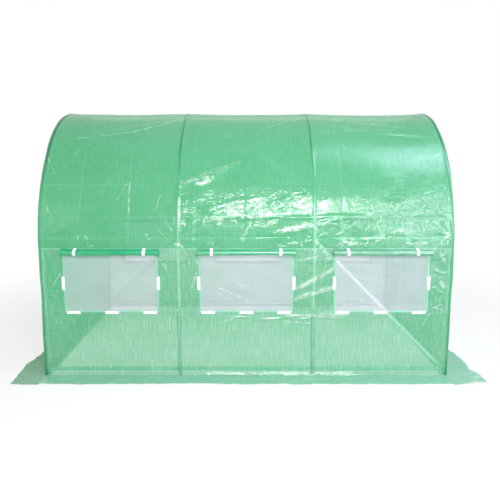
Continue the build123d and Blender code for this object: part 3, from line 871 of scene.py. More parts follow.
def end_creasing(y, z):
    """How crumpled an end sheet is: a little everywhere, more round the middle of its height."""
    return 0.25 + 0.35 * bell(z - 0.9, 0.5) * (0.6 + 0.4 * drift(y * 3, z * 3, 79))


def end_patch(end, ys, low_rows, high_rows, keep=None):
    """Columns from the ground to the arch; low rows end at the door's head or level with it."""
    head = np.where(np.abs(ys) <= door_half + 1e-6, door_head, arch_top(ys) * door_head / arch_top(door_half))
    z = np.concatenate([low_rows[:, None] * head, head + high_rows[1:, None] * (arch_top(ys) - head)])
    y = np.broadcast_to(ys, z.shape)
    order = slice(None) if end > 0 else slice(None, None, -1)
    points, flat = end_point(end, y, z)[:, order], np.stack([y, z], -1)[:, order]
    return patch(points, flat, keep=None if keep is None else keep[:, order])


end_ys = half_width * np.sin(spaced([-np.pi / 2, -np.arcsin(door_half), np.arcsin(door_half), np.pi / 2], 0.016))
low_rows, high_rows = np.linspace(0, 1, 126), np.linspace(0, 1, 20)
for name, end in end_signs.items():
    keep = None
    if name == "right":
        doorway = np.abs((end_ys[:-1] + end_ys[1:]) / 2) < door_half
        keep = np.ones((len(low_rows) + len(high_rows) - 2, len(end_ys) - 1), bool)
        keep[:len(low_rows) - 1, doorway] = False
    make_piece(f"{name}_end_film", [end_patch(end, end_ys, low_rows, high_rows, keep)],
                            end_film if name == "right" else dull_end_film, "green_sheet", [f"{name}_end_sheet"],
                            creased=end_creasing)

# %% [markdown]
# The ground skirts are strips of the same film, sewn to the foot of each wall and laid out flat to be weighed
# down with soil. Their free edges wander and lift in small waves. The one by the right end was dropped in a
# hurry and is the most rumpled.

# %% Ground skirts
side_skirt, end_skirt = 0.185, 0.215


def laid(out, along, width, rumple, seed):
    """Height and edge wander of a laid strip: waves that grow from its sewn edge to its free edge."""
    share = out / width
    waves = 0.5 + 0.5 * drift(along * 6.0 + share * 1.7, share * 1.6, seed)
    fine = crumple(along * 11 + share, share * 2.2 + along * 2, seed + 1) + 0.2
    height = 0.0012 + rumple * share * (0.010 * waves + 0.009 * fine)
    wander = rumple * share * (0.010 * drift(along * 7.5, share * 0.8, seed + 3) - 0.004)
    return height, wander


def skirt_patch(side, along, width, rumple, seed):
    """A laid strip on one of the four sides, from the wall's foot outwards."""
    t, out = np.meshgrid(along, np.linspace(0, width, 26))
    ease = rumple(t) if callable(rumple) else rumple
    height, wander = laid(out, t, width, ease, seed)
    if side == "right":
        wander = wander + 0.045 * out / width * np.clip((-t - 0.85) / 0.33, 0, 1)
    if side in sides:
        points = np.stack([t, -sides[side] * (half_width - film_inset + out + wander), height], -1)
    else:
        points = np.stack([end_signs[side] * (half_length - end_inset + out + wander), t, height], -1)
    flat = np.stack([t, out], -1)
    if side in ("front", "right"):
        points, flat = points[::-1], flat[::-1]
    return patch(points, flat)


def laid_creasing(along, out):
    """How crumpled the laid strips are: more towards their free edge."""
    return 0.35 + 2.5 * out * (1 + drift(along * 4, out * 4, 127))


def right_rumple(t):
    """The right skirt's rumple: most at its front corner."""
    return 1.1 + 1.5 * np.clip(-t, 0, 1.2) ** 2


def dropped_creasing(along, out):
    """The right skirt's creasing: some scuffed streaks at its front corner."""
    return laid_creasing(along, out) + 0.75 * np.clip(-along - 0.3, 0, 0.7)


skirt_step, skirt_end = 0.012, half_width + side_skirt
side_along, end_along = spaced([-half_length, half_length], skirt_step), spaced([-skirt_end, skirt_end], skirt_step)
skirt_kinds = (("front", side_along, side_skirt, 0.8, 101), ("back", side_along, side_skirt, 0.9, 111),
               ("left", end_along, end_skirt, 1.6, 121), ("right", end_along, end_skirt, right_rumple, 131))
for side, along, width, rumple, seed in skirt_kinds:
    strip = skirt_patch(side, along, width, rumple, seed)
    # the left skirt takes the copy with painted shade
    make_piece(f"{side}_skirt_film", [strip], shaded_skirt_film if side == "left" else ground_film,
                              "green_sheet", [f"{side}_skirt"],
                              creased=dropped_creasing if side == "right" else laid_creasing)

# %% [markdown]
# Tubes, straps and tapes are all a closed profile carried along a path. The profile is drawn across the path
# with one direction given, and the other follows from the path's own direction.

# %% Carrying a profile


def carry(profile, path, across):
    """A closed profile carried along a path: point = path + first * across + second * (path direction x across)."""
    path = np.asarray(path, float)
    ahead = np.gradient(path, axis=0)
    ahead = ahead / np.linalg.norm(ahead, axis=1, keepdims=True)
    across = np.broadcast_to(np.asarray(across, float), path.shape)
    across = across - ahead * np.sum(across * ahead, axis=1, keepdims=True)
    across = across / np.linalg.norm(across, axis=1, keepdims=True)
    third = np.cross(ahead, across)
    profile = np.broadcast_to(profile, (len(path), *np.shape(profile)[-2:]))
    points = path[:, None] + profile[..., :1] * across[:, None] + profile[..., 1:] * third[:, None]
    run = np.concatenate([[0], np.cumsum(np.linalg.norm(np.diff(path, axis=0), axis=1))])
    round_it = np.concatenate([[0], np.cumsum(np.linalg.norm(np.diff(profile[0], axis=0), axis=1))])
    flat = np.stack(np.broadcast_arrays(round_it[None, :], run[:, None]), -1)
    return patch(points, flat, closed=True, capped=True)


def ring(sides):
    """A unit circle as profile points."""
    turn = np.linspace(0, 2 * np.pi, sides, endpoint=False)
    return np.stack([np.cos(turn), np.sin(turn)], -1)


def tape_profile(width, thickness):
    """A flat tape's section, an ellipse squared off: cosine and sine each drawn towards their ends."""
    circle = ring(16)
    squared = np.sign(circle) * np.abs(circle) ** 0.45
    return squared * [width / 2, thickness / 2]


print("profiles are ready")

# %% [markdown]
# The frame is 25 mm galvanised steel tube. Zinc is a soft, cloudy grey with a faint spangle of crystals, a
# little rougher where it was handled. A cell pattern gives each crystal its own tone.

# %% Galvanised steel
galvanised, tree = new_finish("galvanised_steel")
place = put(tree, "TexCoord").outputs["Object"]
spangle = put(tree, "TexVoronoi", {"Vector": place, "Scale": 140.0}, feature="F1").outputs["Color"]
tone = put(tree, "SeparateColor", {0: spangle}).outputs[0]
handled = put(tree, "TexNoise", {"Vector": place, "Scale": 9.0, "Detail": 4.0}).outputs[0]
zinc = blend_colours(tree, times(tree, tone, 0.6), (0.80, 0.82, 0.83, 1), (0.92, 0.93, 0.94, 1))
zinc = blend_colours(tree, ramp(tree, handled, 0.5, 0.8, 0, 0.5), zinc, (0.70, 0.71, 0.71, 1))
grain = put(tree, "Bump", {"Strength": 0.15, "Distance": 0.0004, "Height": handled})
steel = put(tree, "BsdfPrincipled", {"Base Color": zinc, "Metallic": 0.3, "Normal": grain.outputs[0],
                                     "Roughness": ramp(tree, tone, 0, 1, 0.32, 0.5)})
show(tree, steel)


def steel_piece(name, patches, *replaced):
    """A piece of galvanised steel, in place of the solids it replaces."""
    return make_piece(name, patches, galvanised, "galvanised_tube", replaced)


print("made", galvanised.name)

# %% [markdown]
# Each hoop is six lengths of tube pushed together: two legs, two shoulders and two crown halves. The tube is
# a circle carried along the arch. Its radius dips at both ends, which draws the joint line seen on the real
# tubes.

# %% Hoops
tube_radius = 0.0125
hoop_joints = {"legs": (0.0, leg_height), "shoulders": (leg_height, leg_height + shoulder_length),
               "crowns": (leg_height + shoulder_length, ridge_s)}


def hoop_tube(x, s_from, s_to, side):
    """A round tube that follows the arch inside the cover from one film length to another."""
    s = np.linspace(s_from, s_to, 40)
    s = np.concatenate([[s[0], s[0] + 0.0015], s[1:-1], [s[-1] - 0.0015, s[-1]]])
    depth, height = arch(s, hoop_inset)[:2]
    path = np.stack([np.full_like(s, x), side * depth, height], -1)
    slim = np.ones(len(s))
    slim[[0, -1]] = 0.88
    return carry(ring(20) * tube_radius * slim[:, None, None], path, (1, 0, 0))


for part, (s_from, s_to) in hoop_joints.items():
    for side, sign in sides.items():
        tubes = [hoop_tube(x, s_from, s_to, sign) for x in hoop_places]
        steel_piece(f"{side}_hoop_{part}_tubes", tubes, f"{side}_hoop_{part}")

# %% [markdown]
# Rails, purlins and braces have their ends pressed flat and drilled, so that one bolt can clamp several to a
# hoop. The section starts as a thin rounded tongue and swells to the round tube over a few centimetres.

# %% Pressed tubes
tongue_half, tongue_tip, tongue_reach, brace_reach, flare = 0.0016, 0.011, 0.042, 0.062, 0.032
layer = 0.0033
first_layer = tube_radius + 0.0018


def pressed_tube(first, last, facing, reach=tongue_reach):
    """A tube between two bolts: width and thickness are blended from a tongue to a circle at both ends."""
    first, last = np.array(first, float), np.array(last, float)
    span = np.linalg.norm(last - first)
    ahead = (last - first) / span
    start = np.concatenate([[0, 0.002, 0.006, 0.010], tongue_tip + reach + flare * np.arange(5) / 4])
    wide = np.array([0.007, 0.010, 0.0125, 0.0135, 0.0140, 0.0138, 0.0134, 0.0129, tube_radius])
    thick = np.array([tongue_half] * 5 + [0.003, 0.0066, 0.0104, tube_radius])
    whole = span + 2 * tongue_tip
    station = np.concatenate([start, whole - start[::-1]]) - tongue_tip
    wide, thick = np.concatenate([wide, wide[::-1]]), np.concatenate([thick, thick[::-1]])
    squared = np.clip(1 - thick / tube_radius, 0, 1)[:, None, None]
    circle = ring(20)
    section = np.sign(circle) * np.abs(circle) ** (1 - 0.5 * squared)
    profile = section * np.stack([wide, thick], -1)[:, None]
    across = np.cross(facing, ahead)
    return carry(profile, first + station[:, None] * ahead, across)


def bay_tubes(depth, height, inwards):
    """One tube to a bay on the inside of the hoops; the middle bay laps over its neighbours."""
    laps = [layer * (bay % 2) for bay in range(3)]
    places = [(depth + inwards[1] * lap, height + inwards[2] * lap) for lap in laps]
    return [pressed_tube((hoop_places[bay], *place), (hoop_places[bay + 1], *place), inwards)
            for bay, place in enumerate(places)]


print("tongues", 2000 * tongue_half, "mm thick swell to tubes of", 2000 * tube_radius, "mm")

# %% [markdown]
# The rails run along the ground between the hoops, the purlins along the shoulders and the ridge, and one brace
# a side stiffens the frame. Their bolt places follow from the arch, so every tongue lies flat on its hoop, and
# each further one is set in by one layer.

# %% Rails, purlins and braces
hoop_side = half_width - hoop_inset
end_hoop = half_length - hoop_inset
end_rail_height, base_rail_height = 0.014, 0.041
purlin_rise = 0.135
purlin_turn = np.arcsin(purlin_rise / (shoulder_radius - hoop_inset))
purlin_radius = shoulder_radius - hoop_inset - first_layer
purlin_y = shoulder_offset - purlin_radius * np.cos(purlin_turn)
purlin_z = leg_height + purlin_radius * np.sin(purlin_turn)
purlin_lean = {side: (0, sign * np.cos(purlin_turn), -np.sin(purlin_turn)) for side, sign in sides.items()}
for side, sign in sides.items():
    rails = bay_tubes(sign * (first_layer - hoop_side), base_rail_height, (0, sign, 0))
    steel_piece(f"{side}_base_rail_tubes", rails, f"{side}_base_rails")
    purlins = bay_tubes(sign * purlin_y, purlin_z, purlin_lean[side])
    steel_piece(f"{side}_purlin_tubes", purlins, f"{side}_side_purlins")
ridge_z = tunnel_top - hoop_inset - first_layer
steel_piece("ridge_purlin_tubes", bay_tubes(0, ridge_z, (0, 0, -1)), "ridge_purlins")
for name, end in end_signs.items():
    end_x = end * (end_hoop - first_layer)
    rail = pressed_tube((end_x, -hoop_side, end_rail_height), (end_x, hoop_side, end_rail_height), (-end, 0, 0))
    steel_piece(f"{name}_end_rail_tube", [rail], f"{name}_end_rail")
brace_in = 2 * layer + 2 * tube_radius * np.sin(purlin_turn)
for side, sign in sides.items():
    foot = (sign * end_hoop, sign * (first_layer - hoop_side + layer), base_rail_height)
    head = (sign * hoop_places[2], sign * (purlin_y + brace_in * np.cos(purlin_turn)),
            purlin_z - brace_in * np.sin(purlin_turn))
    brace = pressed_tube(foot, head, (0, sign, 0), brace_reach)
    steel_piece(f"{side}_brace_tube", [brace], f"{side}_brace")

# %% [markdown]
# A window's insect mesh is a fine net sewn behind the opening. Its threads are far too thin to model, so the
# net is a slightly slack sheet whose finish is part thread and part gap, woven at its real pitch.

# %% Insect mesh
insect_net, tree = new_finish("insect_net")
flat = flat_place(tree)
weave = scrim(tree, flat, 0.0016, 0.0005)
cloud = stretched_noise(tree, flat, (6, 9, 1), 3.0)
thread = blend_colours(tree, ramp(tree, cloud, 0.3, 0.7, 0, 0.6), (0.53, 0.55, 0.595, 1), (0.65, 0.67, 0.725, 1))
net_lines = ((-0.25, 0.693, 0.035, 0.565, 6, 0.7), (-0.082, 0.708, 0.035, 0.671, 6, 0.5),
             (-0.228, 0.708, -0.133, 0.686, 5, 0.5), (0.689, 0.603, 0.88, 0.573, 7, 0.5),
             (0.697, 0.55, 0.896, 0.535, 7, 0.5))
net_creases = drawn_lines(tree, half_turned(tree, flat), net_lines)
thread = blend_colours(tree, net_creases, thread, (0.95, 0.95, 0.96, 1))
knots = put(tree, "Bump", {"Strength": 0.3, "Distance": 0.0003, "Height": weave})
yarn = put(tree, "BsdfPrincipled", {"Base Color": thread, "Roughness": 0.6, "Normal": knots.outputs[0]})
lit = put(tree, "BsdfTranslucent", {"Color": (0.77, 0.85, 0.86, 1)})
cloth = blend_shaders(tree, 0.35, yarn, lit)
gaps = put(tree, "BsdfTransparent", {"Color": (1, 1, 1, 1)})
openness = times(tree, ramp(tree, weave, 0.0, 1.0, 0.73, 0.22), ramp(tree, net_creases, 0.0, 1.0, 1.0, 0.1))
show(tree, blend_shaders(tree, openness, cloth, gaps))
mesh_lap, net_gap = 0.02, 0.0015
bay_names = ("left", "centre", "right")


def net_patch(side, centre, seed):
    """A net behind a window: the cover's own surface, set in by a gap and by slow slack waves."""
    x = np.linspace(centre - window_width / 2 - mesh_lap, centre + window_width / 2 + mesh_lap, 90)
    level = np.sort(side_s(side, np.linspace(window_low - mesh_lap, window_high + mesh_lap, 62)))
    x, s = np.meshgrid(x, level)
    middle, half_height = (window_low + window_high) / 2, (window_high - window_low) / 2
    to_jamb, to_sill = window_width / 2 - np.abs(x - centre), half_height - np.abs(s - side_s(side, middle))
    edge = np.clip(np.minimum(to_jamb, to_sill) / 0.05, 0, 1)
    slack = 0.0035 * (1 + drift(x * 4 + s * 2, s * 5 - x, seed))
    slack = slack + 0.006 * (crumple(x * 4 + 3 * s, s * 9, seed + 1) + 0.2)
    return on_cover(x, s, -net_gap - edge * slack)


windows = [(side, n, bay) for side in sides for n, bay in enumerate(bay_names)]
for side, n, bay in windows:
    net = net_patch(side, bay_centres[n], 141 + 10 * n)
    make_piece(f"{side}_{bay}_net", [net], insect_net, "insect_mesh",
                                 [f"{side}_{bay}_window_mesh"])

# %% [markdown]
# Above each window its flap is rolled up from the hem. The roll is a real spiral of film: half a metre of
# flap wound about six times, then a flat tail up to the seam. Many layers let almost no light through, so it
# is a deeper green than the walls.

# %% Rolled flaps


def rolled_finish(name, dark, light, gloss):
    """Film in many layers: a deep green with faint threads, glossy by the given share."""
    finish, tree = new_finish(name)
    flat = flat_place(tree)
    threads = scrim(tree, flat, 0.012, 0.0026)
    cloud = stretched_noise(tree, flat, (9, 30, 1), 3.0)
    deep = blend_colours(tree, ramp(tree, cloud, 0.3, 0.7, 0, 1), dark, light)
    deep = blend_colours(tree, times(tree, threads, 0.12), deep, (0.25, 0.66, 0.42, 1))
    crinkles = put(tree, "Bump", {"Strength": 0.3, "Distance": 0.001, "Height": cloud})
    shine = put(tree, "BsdfPrincipled", {"Base Color": deep, "Roughness": ramp(tree, cloud, 0.3, 0.7, 0.16, 0.3),
                                         "Specular IOR Level": 0.8 * gloss, "Coat Weight": gloss,
                                         "Coat Roughness": 0.14, "Normal": crinkles.outputs[0]})
    inner = put(tree, "BsdfTranslucent", {"Color": (0.12, 0.62, 0.32, 1)})
    show(tree, blend_shaders(tree, 0.15, shine, inner))
    return finish


# the left roll's copy is darker with painted shade and less glossy, the right roll's paler and greyer with painted
# light
roll_finishes = {"left": rolled_finish("dull_shaded_rolled_film", (0.016, 0.33, 0.14, 1), (0.040, 0.42, 0.19, 1), 0.2),
                 "centre": rolled_finish("rolled_film", (0.022, 0.35, 0.15, 1), (0.060, 0.44, 0.21, 1), 1.0),
                 "right": rolled_finish("pale_lit_rolled_film", (0.050, 0.31, 0.15, 1), (0.130, 0.395, 0.225, 1), 1.0)}
roll_z, roll_radius, roll_length, roll_seat = 0.933, 0.019, 0.715, 0.0016
roll_y = half_width + roll_seat + roll_radius
core_radius, roll_turns, spiral_points, tail_points = 0.0055, 6.0, 150, 6


def rolled_flap(side, centre, seed):
    """A spiral carried along x: radius grows with turn from 6 mm to the roll's own, then a tail rises to the seam."""
    turn = np.linspace(0, 2 * np.pi * roll_turns, spiral_points)
    radius = core_radius + (roll_radius - core_radius) * turn / turn[-1]
    tail = np.linspace(0.004, 0.029, tail_points)
    out = np.concatenate([-radius * np.cos(turn), np.full(tail_points, -roll_radius)])
    up = np.concatenate([-radius * np.sin(turn), tail])
    run = np.concatenate([[0], np.cumsum(np.hypot(np.diff(out), np.diff(up)))])
    x = np.linspace(-roll_length / 2, roll_length / 2, 44) + centre
    across, along = np.meshgrid(run, x)
    wrapped = np.clip(across / run[spiral_points - 1], 0, 1)
    dent = 1 - 0.05 * wrapped * (1 + drift(along * 9, across * 14, seed))
    sway = 0.0015 * drift(along * 5, along * 0, seed + 1)
    at_ends = np.sign(along - centre) * (np.abs(along - centre) > 0.33)
    telescoped = 0.004 * drift(across * 8, along * 0 + seed, seed + 2) * at_ends
    y = roll_y + out[None] * dent
    z = roll_z + up[None] * dent + sway
    points = np.stack([along + telescoped, -sides[side] * y, z], -1)
    flat = np.stack([along, across], -1)
    if side == "front":
        points, flat = points[::-1], flat[::-1]
    return patch(points, flat), run[-1]


for side, n, bay in windows:
    spiral, flap_length = rolled_flap(side, bay_centres[n], 171 + 7 * n)
    make_piece(f"{side}_{bay}_rolled_flap", [spiral], roll_finishes[bay], "rolled_sheet",
                                  [f"{side}_{bay}_flap_roll"])
print("each flap is", round(flap_length, 3), "m of film in its roll")

# %% [markdown]
# White woven tape makes the ties that hold the rolls and the touch-fastening patches round each window. A
# fine crossed weave and a little fuzz in its roughness keep it from looking like plastic.

# %% White tape
white_tape, tree = new_finish("white_woven_tape")
flat = flat_place(tree)
weave = scrim(tree, flat, 0.0022, 0.0008)
worn = stretched_noise(tree, flat, (60, 60, 1), 4.0)
yarn = blend_colours(tree, weave, (0.88, 0.90, 0.88, 1), (0.74, 0.78, 0.76, 1))
yarn = blend_colours(tree, ramp(tree, worn, 0.5, 0.8, 0, 0.35), yarn, (0.66, 0.72, 0.69, 1))
raised = put(tree, "Bump", {"Strength": 0.5, "Distance": 0.0006, "Height": weave})
tape = put(tree, "BsdfPrincipled", {"Base Color": yarn, "Roughness": ramp(tree, worn, 0.2, 0.8, 0.7, 0.95),
                                    "Sheen Weight": 0.2, "Normal": raised.outputs[0]})
show(tree, tape)
tie_width, tie_spread, tie_slant = 0.022, 0.25, 0.04
tie_places = [(x + n * tie_spread, n * tie_slant) for x in bay_centres for n in (-1, 1)]


def tie_strap(side, x, slant):
    """A flat tape down behind the roll, round under it and up over its front to the seam."""
    around = roll_radius + 0.0008
    turn = np.linspace(0, 1.30 * np.pi, 30)
    out = np.concatenate([[-around] * 3, -around * np.cos(turn)])
    up = np.concatenate([[0.032, 0.022, 0.012], -around * np.sin(turn)])
    path = np.stack([x + slant * up, -sides[side] * (roll_y + out), roll_z + up], -1)
    rest = cover_point(x, side_s(side, np.array([0.955, 0.960, 0.966])), [0.013, 0.006, 0.003])
    rest[:, 0] = x + slant * (rest[:, 2] - roll_z)
    path = np.concatenate([path, rest])
    return carry(tape_profile(tie_width, 0.0013), path, (1, 0, 0))


ties = {side: make_piece(f"{side}_tie_tapes", [tie_strap(side, x, slant) for x, slant in tie_places], white_tape,
                         "white_tape", [f"{side}_flap_ties"]) for side in sides}

# %% [markdown]
# The touch patches are short tapes sewn to the wall, three below each window and one beside each jamb. They
# ride on the film's own folds, because they are drawn on the same surface a millimetre further out.

# %% Touch patches
patch_length, patch_width = 0.102, 0.022
sill_level, jamb_level, jamb_offset = 0.486, 0.7055, window_width / 2 + 0.014


def touch_patch(side, centre, level, long, tall):
    """A low pillow on the wall: its lift is flat on top and falls to nothing at its rounded rim."""
    u, v = np.meshgrid(np.linspace(-1, 1, 25), np.linspace(-1, 1, 13))
    rounded = 1 - 0.04 * (u ** 6) * (v ** 6)
    lift = 0.0005 + 0.0022 * (1 - np.abs(u) ** 24) * (1 - np.abs(v) ** 10)
    x = centre + u * long / 2 * rounded
    s = side_s(side, level) + v * tall / 2 * rounded
    return on_cover(x, s, lift)


patch_spots = [(x + n * (window_width - patch_length) / 2, sill_level, patch_length, patch_width)
               for x in bay_centres for n in (-1, 0, 1)]
patch_spots += [(x + n * jamb_offset, jamb_level, patch_width, patch_length) for x in bay_centres for n in (-1, 1)]
touch = {side: make_piece(f"{side}_touch_tapes", [touch_patch(side, *spot) for spot in patch_spots], white_tape,
                          "white_tape", [f"{side}_touch_patches"]) for side in sides}

# %% [markdown]
# Hems and seams are where the film is folded double and sewn. They read as paler, stiffer bands: round each
# window, along the seam over the windows, and down both ends of the cover where the end walls join it.

# %% Hems and seams


def hem(side, x0, x1, low, high, lift=0.0006):
    """A doubled band on the cover between two x and two levels: a low pillow across its narrow direction."""
    xs = spaced([x0, x1], 0.0075) if x1 - x0 > 0.05 else np.linspace(x0, x1, 5)
    levels = spaced([low, high], 0.0075) if high - low > 0.05 else np.linspace(low, high, 5)
    x, s = np.meshgrid(xs, np.sort(side_s(side, levels)))
    across = (x - x0) / (x1 - x0) if x1 - x0 < high - low else (s - s.min()) / np.ptp(s)
    pillow = lift + 0.0009 * np.sin(np.pi * across)
    return on_cover(x, s, pillow)


hem_width = 0.013
hems, seams = {}, {}
for side in sides:
    bands = []
    for centre in bay_centres:
        left, right = centre - window_width / 2, centre + window_width / 2
        bands += [hem(side, left - hem_width, left, window_low - hem_width, window_high),
                  hem(side, right, right + hem_width, window_low - hem_width, window_high),
                  hem(side, left, right, window_low - hem_width, window_low)]
    hems[side] = make_piece(f"{side}_hems", bands, hem_film, "green_sheet")
    seam = hem(side, -half_length, half_length, seam_s - 0.0025, seam_s + 0.0025)
    seams[side] = make_piece(f"{side}_seam", [seam], hem_film, "green_sheet")


binding_width = 0.018


def end_binding(end):
    """The seam at one end of the cover: a doubled band over the whole arch."""
    xs = np.linspace(half_length - binding_width, half_length, 5) * end
    x, s = np.meshgrid(xs, spaced([0.0, cover_length], 0.015))
    if end < 0:
        x = x[:, ::-1]
    pillow = 0.0008 + 0.0012 * np.sin(np.pi * (np.abs(x) - half_length + binding_width) / binding_width)
    return on_cover(x, s, pillow)


bindings = {name: make_piece(f"{name}_end_binding", [end_binding(end)], green_film, "green_sheet", backed=on_tube)
            for name, end in end_signs.items()}

# %% [markdown]
# The door is a panel of the same film, closed by a zip down each side. A zip is a pale tape with a raised
# row of teeth; the teeth are small ridges across its middle, and each zip has a slider with a pull at its foot.

# %% Door and zips
zip_tape, tree = new_finish("zip_tape")
flat = flat_place(tree)
weave = scrim(tree, flat, 0.002, 0.0007)
tape_colour = blend_colours(tree, weave, (0.80, 0.85, 0.81, 1), (0.66, 0.73, 0.69, 1))
raised = put(tree, "Bump", {"Strength": 0.4, "Distance": 0.0005, "Height": weave})
woven = put(tree, "BsdfPrincipled", {"Base Color": tape_colour, "Roughness": 0.75, "Normal": raised.outputs[0]})
show(tree, woven)
zip_half, zip_sill = 0.015, 0.025
door_y, door_z = np.meshgrid(np.linspace(-door_half, door_half, 66), np.linspace(0, door_head, 140))
door = make_piece("door_film", [patch(end_point(1, door_y, door_z), np.stack([door_y, door_z], -1))], end_film,
                  "green_sheet", ["door_panel"], creased=end_creasing)


def zip_strip(y0, face):
    """A tape on the outer or inner face of the end wall: flat edges, and a toothed ridge along its middle."""
    y, z = np.meshgrid(np.linspace(-zip_half, zip_half, 13), np.linspace(zip_sill, door_head, 500))
    teeth = 0.0016 * np.exp(-(y / 0.003) ** 4) * (0.7 + 0.3 * np.sin(2 * np.pi * z / 0.014))
    edge = 0.0006 * (1 - np.abs(y / zip_half) ** 12)
    return patch(end_point(1, y0 + face * y, z, face * (0.0004 + edge + teeth)), np.stack([y, z], -1))


zip_strips = [zip_strip(y0, face) for y0 in (-door_half, door_half) for face in (1, -1)]
zips = make_piece("door_zip_tapes", zip_strips, zip_tape, "zip_tape", ["door_zips"])


def slider(y0):
    """A zip slider and its pull: two rounded blocks, each an ellipse squared off and carried along z."""
    z = np.array([0.0, 0.001, 0.004, 0.013, 0.016, 0.017])
    swell = np.array([0.2, 0.75, 1.0, 1.0, 0.75, 0.2])[:, None, None]
    body = tape_profile(0.011, 0.007) * swell
    x = end_point(1, np.array(y0), np.array(0.05))[0]
    body_path = np.stack([np.full(6, x + 0.004), np.full(6, y0), 0.045 + z], -1)
    pull_path = np.stack([np.full(6, x + 0.008), np.full(6, y0), 0.010 + 2.2 * z], -1)
    return [carry(body, body_path, (0, 1, 0)), carry(body * [0.6, 0.3], pull_path, (0, 1, 0))]


sliders = steel_piece("door_zip_sliders", slider(-door_half) + slider(door_half))

# %% [markdown]
# Small hexagon bolts clamp the pressed ends to the hoops, with a washer and a nut on the inside. They are the
# glints at the corners of the real frame. A hexagon carried a few millimetres along the bolt is enough.

# %% Bolts
washer_radius, washer_thick, shank_radius, shank_reach = 0.0075, 0.0012, 0.003, 0.013
nut_size, nut_thick = 0.010, 0.005


def any_across(direction):
    """A direction that isn't the given one: x, or y for a bolt that lies along x."""
    return (1, 0, 0) if abs(direction[0]) < 0.9 else (0, 1, 0)


def hexagon(centre, direction, across_flats, thick):
    """A hexagon prism with softened edges: a six-sided profile that narrows at both faces."""
    centre, direction = np.array(centre, float), np.array(direction, float)
    station = np.array([0, 0.15, 0.85, 1]) * thick
    narrow = np.array([0.88, 1, 1, 0.88])[:, None, None]
    path = centre + station[:, None] * direction
    return carry(ring(6) * across_flats / np.sqrt(3) * narrow, path, any_across(direction))


def bolt(place, inwards, stack):
    """A bolt through a hoop: a nut on a washer inside the lapped tongues, and the bolt's end."""
    place, inwards = np.array(place, float), np.array(inwards, float)
    face = place + inwards * stack
    washer = carry(ring(14) * washer_radius, face + np.array([[0.0], [washer_thick]]) * inwards, any_across(inwards))
    shank_path = face + np.array([[0.0], [0.012], [shank_reach]]) * inwards
    shank = carry(ring(10) * shank_radius, shank_path, any_across(inwards))
    return [washer, hexagon(face + inwards * washer_thick, inwards, nut_size, nut_thick), shank]


bolts = []
for x in hoop_places:
    for side, sign in sides.items():
        bolts += bolt((x, sign * (first_layer - hoop_side), base_rail_height), (0, sign, 0), 2.6 * layer)
        bolts += bolt((x, sign * purlin_y, purlin_z), purlin_lean[side], 4.6 * layer)
    bolts += bolt((x, 0, ridge_z), (0, 0, -1), 1.6 * layer)
for end in (-1, 1):
    for sign in (-1, 1):
        bolts += bolt((end * (end_hoop - first_layer), sign * hoop_side, end_rail_height), (-end, 0, 0), 0.6 * layer)
steel_piece("frame_bolts", bolts)

# %% [markdown]
# The tunnel was photographed on a white ground with no edge to it. The floor is a pale sheet that takes the
# object's soft shadow. Seen directly, floor and surroundings are simply white, apart from the floor inside the
# tunnel, which lies in its shade. The light that the room scatters is stronger from the front than from above
# and behind.

# %% Floor and surroundings
floor_half = 30.0


def seen_directly(tree):
    """One for light that comes to the eye straight, through film or by a mirror; nothing for scattered light."""
    rays = put(tree, "LightPath").outputs
    straight = larger(tree, rays["Is Camera Ray"], rays["Is Transmission Ray"])
    return larger(tree, straight, rays["Is Glossy Ray"])


floor_finish, tree = new_finish("pale_floor")
pale = put(tree, "BsdfDiffuse", {"Color": (0.86, 0.86, 0.85, 1)})
white = put(tree, "Emission", {"Color": (1, 1, 1, 1), "Strength": 1.0})
place = put(tree, "TexCoord").outputs["Object"]
away = vectors(tree, "LENGTH", place)["Value"]
split = put(tree, "SeparateXYZ", {0: place}).outputs
beyond = sums(tree, "SUBTRACT", sums(tree, "ABSOLUTE", split[0]), half_length - half_width)
beyond = larger(tree, beyond, sums(tree, "ABSOLUTE", split[1]))
shade = ramp(tree, split[1], -0.6, 0.95, 1.0, 0.55)
shade = larger(tree, shade, ramp(tree, beyond, half_width, half_width + 0.15))
seen = times(tree, seen_directly(tree), ramp(tree, away, 1.8, 4.5, 0.72, 1.0))
show(tree, blend_shaders(tree, times(tree, seen, shade), pale, white))
floor_mesh = bpy.data.meshes.new("pale_floor")
floor_corners = np.array([[-1, -1], [1, -1], [1, 1], [-1, 1]]) * floor_half
floor_mesh.from_pydata([(*corner, -0.0005) for corner in floor_corners], [], [(0, 1, 2, 3)])
floor_mesh.materials.append(floor_finish)
floor = bpy.data.objects.new("pale_floor", floor_mesh)
bpy.context.scene.collection.objects.link(floor)

world = bpy.data.worlds.new("white_room")
world.use_nodes = True
world.node_tree.nodes.clear()
tree = world.node_tree
towards = put(tree, "SeparateXYZ", {0: put(tree, "TexCoord").outputs["Generated"]}).outputs
behind = plus(tree, towards[1], times(tree, towards[2], 0.8))
behind = plus(tree, behind, times(tree, towards[0], -0.05))
scattered = ramp(tree, behind, -1.0, 1.0, 0.825, 0.36)
room_light = larger(tree, seen_directly(tree), scattered)
room = put(tree, "Background", {"Color": (1, 1, 1, 1), "Strength": room_light})
put(tree, "OutputWorld", {"Surface": room.outputs[0]})
bpy.context.scene.world = world
bpy.context.scene.view_settings.view_transform = "Standard"
print("floor and white room are in place")

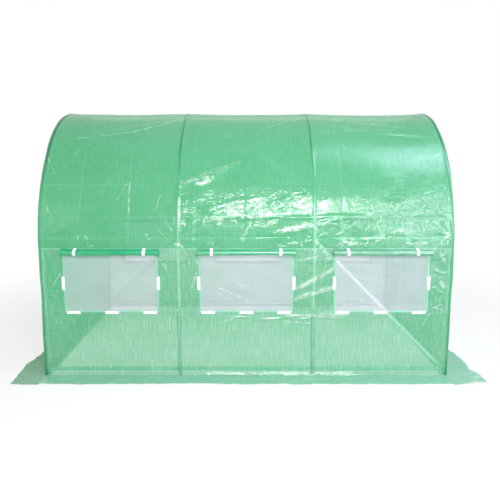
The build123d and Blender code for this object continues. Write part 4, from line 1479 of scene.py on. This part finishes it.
# %% [markdown]
# Besides the white room there are a few lamps. A soft box in front, high and a little to the right, with a wide
# dim halo round it, puts the crumpled gloss on the shoulder of the cover. A weak one fills in the left end, and
# a thin strip behind is mirrored along the ridge. Cool ones over and before the right end are mirrored there as
# a soft glow.

# %% Lamps


def soft_box(name, place, target, wide, tall, watts, colour):
    """A rectangular lamp that faces a target."""
    lamp = bpy.data.lights.new(name, "AREA")
    lamp.shape, lamp.size, lamp.size_y = "RECTANGLE", wide, tall
    lamp.energy, lamp.color = watts, colour
    holder = bpy.data.objects.new(name, lamp)
    ahead = np.array(target, float) - np.array(place, float)
    ahead /= np.linalg.norm(ahead)
    holder.location = place
    holder.rotation_euler = (np.arccos(-ahead[2]), 0, np.arctan2(-ahead[0], ahead[1]))
    bpy.context.scene.collection.objects.link(holder)
    return holder


def glow_boxes(name, place, target, wide, tall, watts, colour):
    """Three oval lamps in one place, each larger and dimmer for its size, which are mirrored as one soft spot."""
    for n, share in enumerate((0.5, 1.0, 1.5)):
        spot = np.array(place) + np.array([0.01, -0.01, 0.01]) * n
        lamp = soft_box(f"{name}_{n}", spot, target, wide * share, tall * share, watts * share / 3, colour)
        lamp.data.shape = "ELLIPSE"


warm, cool, mauve = (1, 0.98, 0.96), (0.64, 0.76, 1), (0.86, 0.76, 1)
soft_box("front_soft_box", (0.62, -5.45, 3.75), (0.2, -0.95, 1.25), 1.3, 1.25, 148, warm)
soft_box("front_halo", (0.62, -5.46, 3.76), (0.2, -0.95, 1.25), 2.8, 1.25, 58, warm)
soft_box("left_fill", (-3.2, -4.0, 2.5), (-1.2, -0.9, 1.0), 2.0, 2.0, 13, (1, 1, 1))
soft_box("back_strip", (0.0, 3.7, 4.7), (0.0, -0.35, 1.90), 5.0, 0.35, 6, (1, 0.90, 0.76))
glow_boxes("right_high_glow", (2.75, -1.8, 4.7), (1.35, -0.75, 1.5), 1.4, 3.0, 108, cool)
glow_boxes("right_low_glow", (2.8, -4.8, 2.3), (1.35, -0.95, 1.15), 1.3, 3.4, 122, mauve)
print("lamps are lit")
